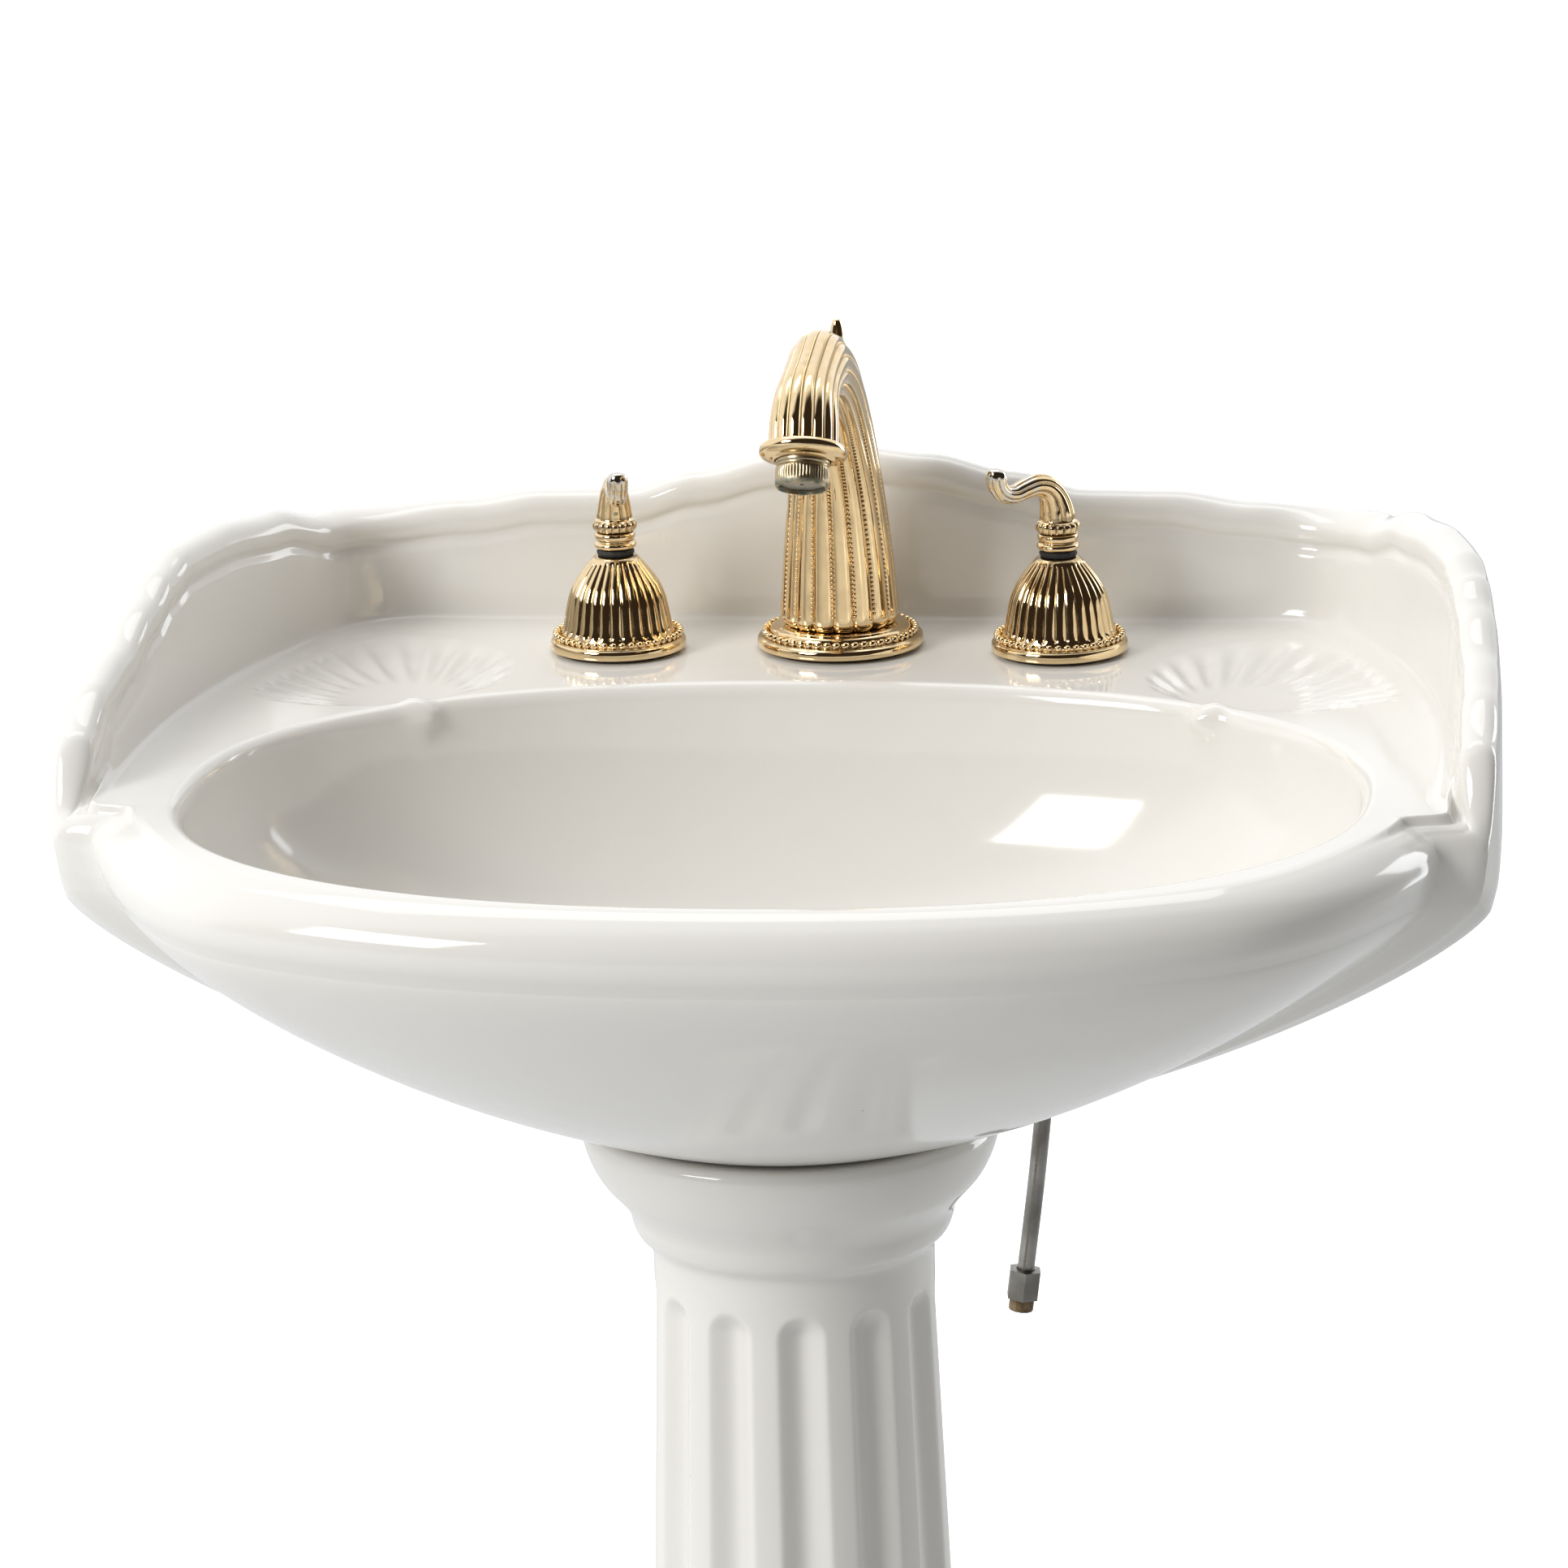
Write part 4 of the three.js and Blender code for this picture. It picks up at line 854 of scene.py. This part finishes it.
def spout_skin(share, turn, shrink):
    """Points on the spout's skin: ellipses across the two lines, drawn in by a shrink in mm."""
    over, under, half = spout_lines(share)
    middle, rise = (over + under) / 2, (over - under) / 2
    size = np.linalg.norm(rise, axis=1)[:, None]
    high = rise[:, None] * ((1 - shrink / size) * np.sin(turn))[..., None]
    wide = ((half[:, None] - shrink) * np.cos(turn))[..., None] * [1.0, 0.0, 0.0]
    return middle[:, None] + high + wide


def spout():
    """The spout's arched body: convex lobes run its whole length, with a line of small beads in
    every groove between them; the lobes round off at the foot."""
    share = np.linspace(0, 1, 150)
    turn = np.linspace(0, 2 * np.pi, SPOUT_LOBES * 12, endpoint=False)[None, :]
    lobe = np.abs(np.sin(turn * SPOUT_LOBES / 2))
    groove = 1.9 * (1 - lobe) ** 1.6
    start = 2.6 * (1 - np.sqrt(1 - (1 - np.minimum(share / 0.022, 1)) ** 2))[:, None]
    fade = mix(1, 0.75, share)[:, None]
    skin = spout_skin(share, turn, groove * fade + start)
    ends = [np.repeat(skin[k].mean(0)[None, None], turn.size, 1) for k in (0, -1)]
    clean = np.zeros((1, turn.size))
    recess = np.concatenate([clean, (1 - lobe) ** 1.2 * (0.35 + 0 * fade), clean])
    shape = surface(np.concatenate([ends[0], skin, ends[1]]), recess=recess)
    made = mesh_object("fluted_spout", shape)
    carve(
        made,
        drill(2.8, DECK, DECK + 170, 0, LIFT_ROD_Y, 32),
        drill(8.3, DECK, DECK + 34, 0, SPOUT_Y, 32),
    )
    finished(made, GOLD, "sink", ["spout_body"])

    share = np.linspace(0.028, 0.992, 128)
    turn = (np.arange(SPOUT_LOBES) / SPOUT_LOBES * 2 * np.pi)[None, :]
    centres = spout_skin(share, turn, 1.15)
    along = unit(np.gradient(centres, axis=0))
    over, under, _ = spout_lines(share)
    out = centres - ((over + under) / 2)[:, None]
    side = unit(np.cross(along, out))
    out = np.cross(side, along)
    axes = np.stack([along, side, out], 2).reshape(-1, 3, 3)
    made = mesh_object("spout_beading", beads(centres.reshape(-1, 3), axes, (0.78, 0.72, 0.72)))
    finished(made, GOLD, "sink", [], 60)


def bead_seat(angle, radius, height):
    """Plain turned metal with dirt held at the foot of the bead ring."""
    return 0 * radius, 0.9 * np.exp(-(((height - 7.2) / 1.0) ** 2)) + 0 * angle


def tilted(shape):
    """The shape turned forward about the middle of the spout's tip, as the outlet leans."""
    middle = np.array([0, SPOUT_Y - SPOUT_REACH, DECK + TIP_HEIGHT])
    turn = np.array(Matrix.Rotation(-TIP_TILT, 3, "X"))
    shape["points"] = (shape["points"] - middle) @ turn.T + middle
    return shape


def spout_fittings():
    """The spout's base with its bead ring, the flange under the tip, and the aerator."""
    outline = softened(
        [
            (8.5, 1.8), (37.4, 1.8), (38.2, 2.2), (38.2, 4.6), (37.6, 6.0), (36.6, 6.5),
            (36.5, 6.9), (34.5, 7.0), (32.6, 7.4), (32.2, 9.4), (31.2, 10.6), (29.2, 11.2),
            (28.6, 11.7), (8.5, 11.7),
        ],
        2,
        closed=True,
    )
    made = mesh_object(
        "spout_rosette",
        together(
            lathe(outline, 0, SPOUT_Y, segments=160, relief=bead_seat),
            bead_ring(51, 34.5, 8.2, 0, SPOUT_Y, (2.0, 1.5, 1.7), 0.5),
        ),
    )
    carve(made, drill(2.8, DECK - 5, DECK + 20, 0, LIFT_ROD_Y, 32))
    finished(made, GOLD, "sink", ["spout_base"])

    tip, tip_y = DECK + TIP_HEIGHT, SPOUT_Y - SPOUT_REACH
    outline = softened(
        [
            (6.5, -0.3), (15.2, -0.3), (16.0, -0.4), (17.6, -0.5), (19.0, -1.4), (19.6, -2.9),
            (19.5, -4.4), (18.6, -5.8), (16.6, -6.6), (14.6, -7.0), (13.6, -7.7), (12.3, -8),
            (12.3, -4), (6.5, -4),
        ],
        2,
        closed=True,
    )
    made = mesh_object("tip_flange", tilted(lathe(outline, 0, tip_y, tip, 96)))
    finished(made, GOLD, "sink", ["spout_flange"])

    outline = softened(
        [
            (6.5, -4.3), (12, -4.3), (12, -9), (11.5, -9.6), (11.5, -10.6), (12, -11.2),
            (12, -17.6), (11.6, -19.4), (10.9, -20), (10, -19.6), (10, -7), (6.5, -7),
        ],
        2,
        closed=True,
    )

    def knurled(angle, radius, height):
        """Fine upright cuts round the grip of the aerator."""
        grip = smooth((-11.5 - height) / 0.6) * smooth((height + 17.4) / 0.6) * (radius > 11.4)
        cut = np.abs(np.sin(angle * 24))
        lime = 0.1 + 0.9 * smooth((-17 - height) / 1.6)
        return -0.35 * grip * (1 - cut) ** 1.5, lime + 0 * angle

    made = mesh_object("aerator", tilted(lathe(outline, 0, tip_y, tip, 192, knurled)))
    finished(made, LIMED_GOLD, "sink", ["aerator_housing"])


# ---------- handles ----------
def reeds(angle, radius, height):
    """Convex reeds up the bell: the radius swells as the absolute sine of the bearing, from
    scalloped lower ends to just under the neck."""
    on = smooth((height - 9.2) / 1.6) * smooth((43.6 - height) / 2.2) * (radius > 10)
    lobe = np.abs(np.sin(angle * BELL_REEDS / 2))
    size = (radius / 25) ** 0.9
    groove = (1 - lobe) ** 1.3 * on
    seat = 0.8 * np.exp(-(((height - 7.6) / 0.9) ** 2))
    seat = seat + 0.9 * smooth((height - 43.6) / 0.8) * smooth((45.4 - height) / 0.8)
    return -1.1 * size * groove, np.clip(0.4 * groove**2 + seat, 0, 1)


def bell(name, x):
    """The reeded bell under a handle, with a beaded foot."""
    outside = softened(
        [
            (30.8, 1.8), (31.2, 2.1), (31.2, 4.6), (30.8, 5.8), (30.0, 6.4), (30.1, 6.8),
            (29.2, 7.0), (27.2, 7.3), (26.3, 8.0), (25.9, 9.2), (25.1, 11.5), (24.6, 14),
            (24.0, 17.5), (23.2, 21.5), (22.2, 26), (20.6, 30), (18.8, 33.2), (16.4, 36.6),
            (14.0, 39.6), (11.8, 42.2), (10.4, 44), (9.2, 44.8), (5, 44.8),
        ],
        2,
    )
    inside = [(5, 42), (8, 41), (14.5, 35), (19, 27), (21.6, 18), (23.2, 9), (25.5, 1.8)]
    outline = np.concatenate([outside, inside])
    made = mesh_object(
        name + "_bell",
        together(
            lathe(outline, x, ROW_Y, segments=BELL_REEDS * 10, relief=reeds),
            bead_ring(44, 28.6, 8.4, x, ROW_Y, (1.62, 1.5, 1.6)),
        ),
    )
    finished(made, GOLD, "sink", [name + "_escutcheon"])


def hub(name, x):
    """The turned hub over the bell's neck: a torus ring, a plain waist and a band."""

    def grime(angle, radius, height):
        depth = smooth((9.1 - radius) / 0.8) * (radius > 5) * smooth((height - NECK - 3) / 0.5)
        return 0 * radius, np.clip(depth, 0, 1) + 0 * angle

    outline = softened(
        [
            (4.3, 3.2), (8.4, 3.2), (9.4, 3.9), (9.9, 4.9), (9.5, 6.1), (8.5, 6.7), (8.4, 7.4),
            (9.1, 7.9), (9.4, 8.6), (9.4, 9.8), (9.0, 10.6), (8.4, 11), (4.3, 11),
        ],
        2,
        closed=True,
    )
    outline[:, 1] += NECK
    made = mesh_object(name + "_turned_hub", lathe(outline, x, ROW_Y, segments=96, relief=grime))
    finished(made, GOLD, name + "_handle", [name + "_hub"])


# Middle line of a lever, as (distance out from the stem, height above the deck, half width).
LEVER_LINE = [
    (0, 61.5, 8.2), (0.2, 64.5, 8.0), (0.9, 68.6, 7.4), (3.2, 74.2, 6.4), (7.2, 78.0, 5.6),
    (13, 79.6, 5.1), (19.6, 78.6, 4.7), (25.6, 77.3, 4.4), (30.6, 78.4, 4.3), (34.2, 82, 4.6),
    (35.4, 87, 4.8), (34.8, 91, 3.6),
]
LEVER_RIDGES = 8


def lever(name, x):
    """The handle's beaded collar and its S lever: a round section carried along the lever's middle
    line, with ridges along it, beads in the grooves between them, and a worn tip."""
    collar = softened(
        [
            (0, 11.3), (8.6, 11.3), (9.6, 11.9), (10.0, 13.0), (9.9, 15.2), (9.2, 16.2),
            (8.3, 16.8), (7.9, 18), (0, 18),
        ],
        2,
    )
    collar[:, 1] += NECK

    def petals(angle, radius, height):
        """Sixteen egg shapes round the collar."""
        up = (height - NECK - 14.1) / 2.3
        lobe = np.sqrt(np.maximum(1 - np.minimum(up**2, 1), 0)) * np.abs(np.sin(angle * 8))
        on = (np.abs(up) < 1) * (radius > 9)
        return on * 0.9 * (lobe**0.6 - 0.75), np.clip(on * (1 - lobe), 0, 1)

    heading = HEADINGS[name]
    forward = np.array([math.sin(heading), -math.cos(heading), 0.0])
    up = np.array([0.0, 0.0, 1.0])
    aside = np.cross(forward, up)
    share = np.linspace(0, 1, 90)
    line = through(LEVER_LINE, share)
    middle = np.array([x, ROW_Y, DECK]) + line[:, :1] * forward + line[:, 1:2] * up
    along = unit(np.gradient(middle, axis=0))
    over = unit(np.cross(aside, along))

    def ring(turn, half):
        high = over[:, None] * (half * np.sin(turn))[..., None]
        return middle[:, None] + aside * (half * np.cos(turn))[..., None] + high

    turn = np.linspace(0, 2 * np.pi, LEVER_RIDGES * 12, endpoint=False)[None, :]
    lobe = np.abs(np.sin((turn - np.pi / LEVER_RIDGES) * LEVER_RIDGES / 2))
    end = np.sqrt(np.maximum(1 - (np.maximum(share - 0.955, 0) / 0.045) ** 2, 0))[:, None]
    ridged = smooth((0.93 - share) / 0.05)[:, None] * smooth(share / 0.03)[:, None]
    half = line[:, 2:3] * end
    groove = 0.13 * (1 - lobe) ** 1.8 * ridged
    skin = ring(turn, half * (1 - groove))
    first = np.repeat(skin[:1].mean(1)[:, None], turn.size, 1)
    clean = np.zeros((1, turn.size))
    recess = np.concatenate([clean, 0.75 * (1 - lobe) ** 2.0 * ridged])
    recess[1:9] = np.maximum(recess[1:9], 0.8)
    worn = 0.5 * smooth((share - 0.35) / 0.2) + 0.5 * smooth((share - 0.88) / 0.06)
    wear = np.concatenate([clean, worn[:, None] + 0 * turn])
    body = surface(np.concatenate([first, skin]), recess=recess, wear=wear)

    chosen = np.arange(6, 80)
    lines = (np.pi / LEVER_RIDGES + np.arange(LEVER_RIDGES) / LEVER_RIDGES * 2 * np.pi)[None, :]
    spots = ring(lines, half * 0.9)[chosen]
    tangent = np.repeat(along[chosen][:, None], LEVER_RIDGES, 1)
    out = spots - middle[chosen][:, None]
    side = unit(np.cross(tangent, out))
    axes = np.stack([tangent, side, np.cross(side, tangent)], 2).reshape(-1, 3, 3)
    beading = beads(spots.reshape(-1, 3), axes, (0.36, 0.30, 0.30))
    collar = lathe(collar, x, ROW_Y, segments=128, relief=petals, wrap_rows=False)
    made = mesh_object(name + "_lever_handle", together(collar, body, beading))
    finished(made, GOLD, name + "_handle", [name + "_lever"])


# ---------- lift rod and waste ----------
def lift_knob():
    """The lift rod with its ringed, tapered knob."""
    outline = [
        (0, -163), (2, -163), (2, 134.6), (2.6, 135.4), (3.4, 136.2), (4.1, 136.8), (4.2, 137.8),
        (3.6, 138.7), (2.7, 139.2), (2.6, 139.8), (3.2, 140.2), (3.4, 141.2), (3.1, 143.6),
        (2.6, 146.6), (1.9, 149), (1.0, 149.8), (0, 149.9),
    ]
    outline = softened(outline, 2)
    made = mesh_object("lift_rod_knob", lathe(outline, 0, LIFT_ROD_Y, segments=48, wrap_rows=False))
    finished(made, GOLD, "lift", ["lift_rod"])


def waste():
    """The drain's flange and the stopper."""
    floor = BOWL_FLOOR - DECK
    inner = DRAIN_RADIUS - 2
    ceiling = floor - SHELL_WALL
    flange = softened(
        [
            (inner, floor + 1.2), (inner + 1.2, floor + 2.0), (DRAIN_RADIUS + 5, floor + 2.1),
            (DRAIN_RADIUS + 11, floor + 1.6), (DRAIN_RADIUS + 13, floor + 0.7),
            (DRAIN_RADIUS + 12.8, floor + 0.3), (DRAIN_RADIUS + 2, floor + 0.3),
            (DRAIN_RADIUS, floor - 4), (DRAIN_RADIUS, ceiling - 16), (inner, ceiling - 16),
        ],
        2,
        closed=True,
    )
    made = mesh_object("waste_flange", lathe(flange, 0, COLUMN_Y, segments=96))
    finished(made, GOLD, "sink", ["drain_flange"])
    rise = floor + STOPPER_RISE
    stopper = softened(
        [
            (0, rise + 1), (3, rise + 1), (inner - 4, rise + 2.4), (inner + 3, rise + 2.6),
            (inner + 4, rise + 3.2), (inner + 3.9, rise + 4.2), (inner + 2, rise + 5.2),
            (inner - 2, rise + 6.8), (5, rise + 7.8), (0, rise + 7.9),
        ],
        2,
    )
    made = mesh_object("waste_stopper", lathe(stopper, 0, COLUMN_Y, segments=96, wrap_rows=False))
    finished(made, GOLD, "plug", ["stopper"])


def supply_tube(name, side):
    """The riser that leans in from the valve down towards the wall."""
    x, lean = side * VALVE_X, side * 23.2
    path = [
        (x, ROW_Y, DECK - 68), (x, ROW_Y, DECK - 88), (x - lean * 0.08, ROW_Y, DECK - 120),
        (x - lean * 0.58, ROW_Y, DECK - 241), (x - lean, ROW_Y, DECK - 316),
    ]
    made = mesh_object(name + "_riser", tube(path, 4.0, bore=3.1))
    finished(made, NICKEL, "sink", [name + "_supply_tube"])


# ---------- light, floor and camera ----------
def studio():
    """A wide pale floor that glows more to the left, one large soft light from the front left, two
    weaker ones, and a pale room. The room darkens towards the camera, the floor and the right,
    more sharply in reflections, and the camera sees it and the floor plain white."""
    mesh = bpy.data.meshes.new("floor")
    reach = 30.0
    corners = [(-reach, -reach, 0), (reach, -reach, 0), (reach, reach, 0), (-reach, reach, 0)]
    mesh.from_pydata(corners, [], [(0, 1, 2, 3)])
    floor = bpy.data.objects.new("floor", mesh)
    bpy.context.scene.collection.objects.link(floor)
    material, tree, shader = new_material("pale_floor")
    shader.inputs["Base Color"].default_value = (0.45, 0.455, 0.46, 1)
    shader.inputs["Roughness"].default_value = 0.6
    shader.inputs["Specular IOR Level"].default_value = 0.2
    place = add(tree, "ShaderNodeTexCoord").outputs["Object"]
    across = add(tree, "ShaderNodeSeparateXYZ", {"Vector": place}).outputs["X"]
    side = spread(tree, across, -1.2, 1.0, 0.42, 0.04)
    seen = add(tree, "ShaderNodeLightPath").outputs["Is Camera Ray"]
    glow = add(tree, "ShaderNodeMix", {"Factor": seen, "A": side, "B": 1.0})
    tree.links.new(glow.outputs[0], shader.inputs["Emission Strength"])
    shader.inputs["Emission Color"].default_value = (0.97, 0.985, 1.0, 1)
    mesh.materials.append(material)

    def light(name, place, aim, size, power, colour):
        data = bpy.data.lights.new(name, "AREA")
        data.shape = "RECTANGLE"
        data.size, data.size_y = size
        data.energy = power
        data.color = colour
        lamp = bpy.data.objects.new(name, data)
        bpy.context.scene.collection.objects.link(lamp)
        lamp.location = place
        lamp.rotation_euler = (Vector(aim) - Vector(place)).to_track_quat("-Z", "Y").to_euler()

    light("key", (-3.1, -3.1, 3.3), (0, 0, 0.8), (1.8, 1.8), 150, (1.0, 0.99, 0.975))
    light("top", (-0.3, 0.9, 3.0), (0, 0, 0.8), (2.2, 1.0), 15, (1.0, 1.0, 1.0))
    light("right", (2.3, 2.0, 1.0), (0, 0, 0.75), (0.9, 2.0), 24, (0.96, 0.98, 1.0))

    world = bpy.data.worlds.new("room")
    world.use_nodes = True
    bpy.context.scene.world = world
    tree = world.node_tree
    direction = add(tree, "ShaderNodeTexCoord").outputs["Generated"]
    parts = add(tree, "ShaderNodeSeparateXYZ", {"Vector": direction})
    lift = maths(tree, "MULTIPLY_ADD", parts.outputs["Z"], 0.5, parts.outputs["Y"])
    lean = maths(tree, "MULTIPLY_ADD", parts.outputs["X"], -0.5, lift)
    ramp = spread(tree, lean, -0.45, 0.8, interpolation_type="SMOOTHSTEP")
    colour = blend(tree, ramp, (0.21, 0.205, 0.20, 1), (1.0, 1.01, 1.03, 1))
    ray = add(tree, "ShaderNodeLightPath").outputs
    sharp = spread(tree, lean, 0.06, 0.46, interpolation_type="SMOOTHSTEP")
    mirrored = blend(tree, sharp, (0.035, 0.025, 0.018, 1), (1.15, 1.16, 1.18, 1))
    lit = blend(tree, ray["Is Glossy Ray"], colour, mirrored)
    shown = blend(tree, ray["Is Camera Ray"], lit, (1.0, 1.0, 1.0, 1))
    background = tree.nodes["Background"]
    tree.links.new(shown, background.inputs["Color"])
    background.inputs["Strength"].default_value = 1.0


def camera():
    """A long lens a little right of the middle, looking slightly down."""
    yaw, pitch, roll = 0.1337, 0.2622, -0.0271
    level = math.cos(pitch)
    ahead = np.array([-math.sin(yaw) * level, math.cos(yaw) * level, -math.sin(pitch)])
    right = np.array([math.cos(yaw), math.sin(yaw), 0.0])
    up = np.cross(right, ahead)
    turned_right = right * math.cos(roll) + up * math.sin(roll)
    turned_up = up * math.cos(roll) - right * math.sin(roll)
    data = bpy.data.cameras.new("camera")
    data.lens = 158.4
    data.sensor_width = 36.0
    made = bpy.data.objects.new("camera", data)
    bpy.context.scene.collection.objects.link(made)
    matrix = Matrix(np.stack([turned_right, turned_up, -ahead], 1).tolist()).to_4x4()
    matrix.translation = (0.3821, -2.8549, 1.5727)
    made.matrix_world = matrix
    bpy.context.scene.camera = made


camera()
studio()
basin()
column()
spout()
spout_fittings()
for side_name, side_sign in SIDES.items():
    bell(side_name, side_sign * VALVE_X)
    hub(side_name, side_sign * VALVE_X)
    lever(side_name, side_sign * VALVE_X)
    supply_tube(side_name, side_sign)
lift_knob()
waste()

FINISHES = {
    "ceramic": CHINA, "gold": GOLD, "worn_gold": LIMED_GOLD, "brass": BRASS,
    "worn_brass": WORN_BRASS, "copper": COPPER, "steel": STEEL, "nickel": NICKEL,
    "rubber": RUBBER, "nut_plastic": PLASTIC,
}
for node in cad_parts.values():
    for material_slot in node.material_slots:
        material_slot.material = FINISHES[material_slot.material.name]

bpy.context.scene.view_settings.view_transform = "Standard"
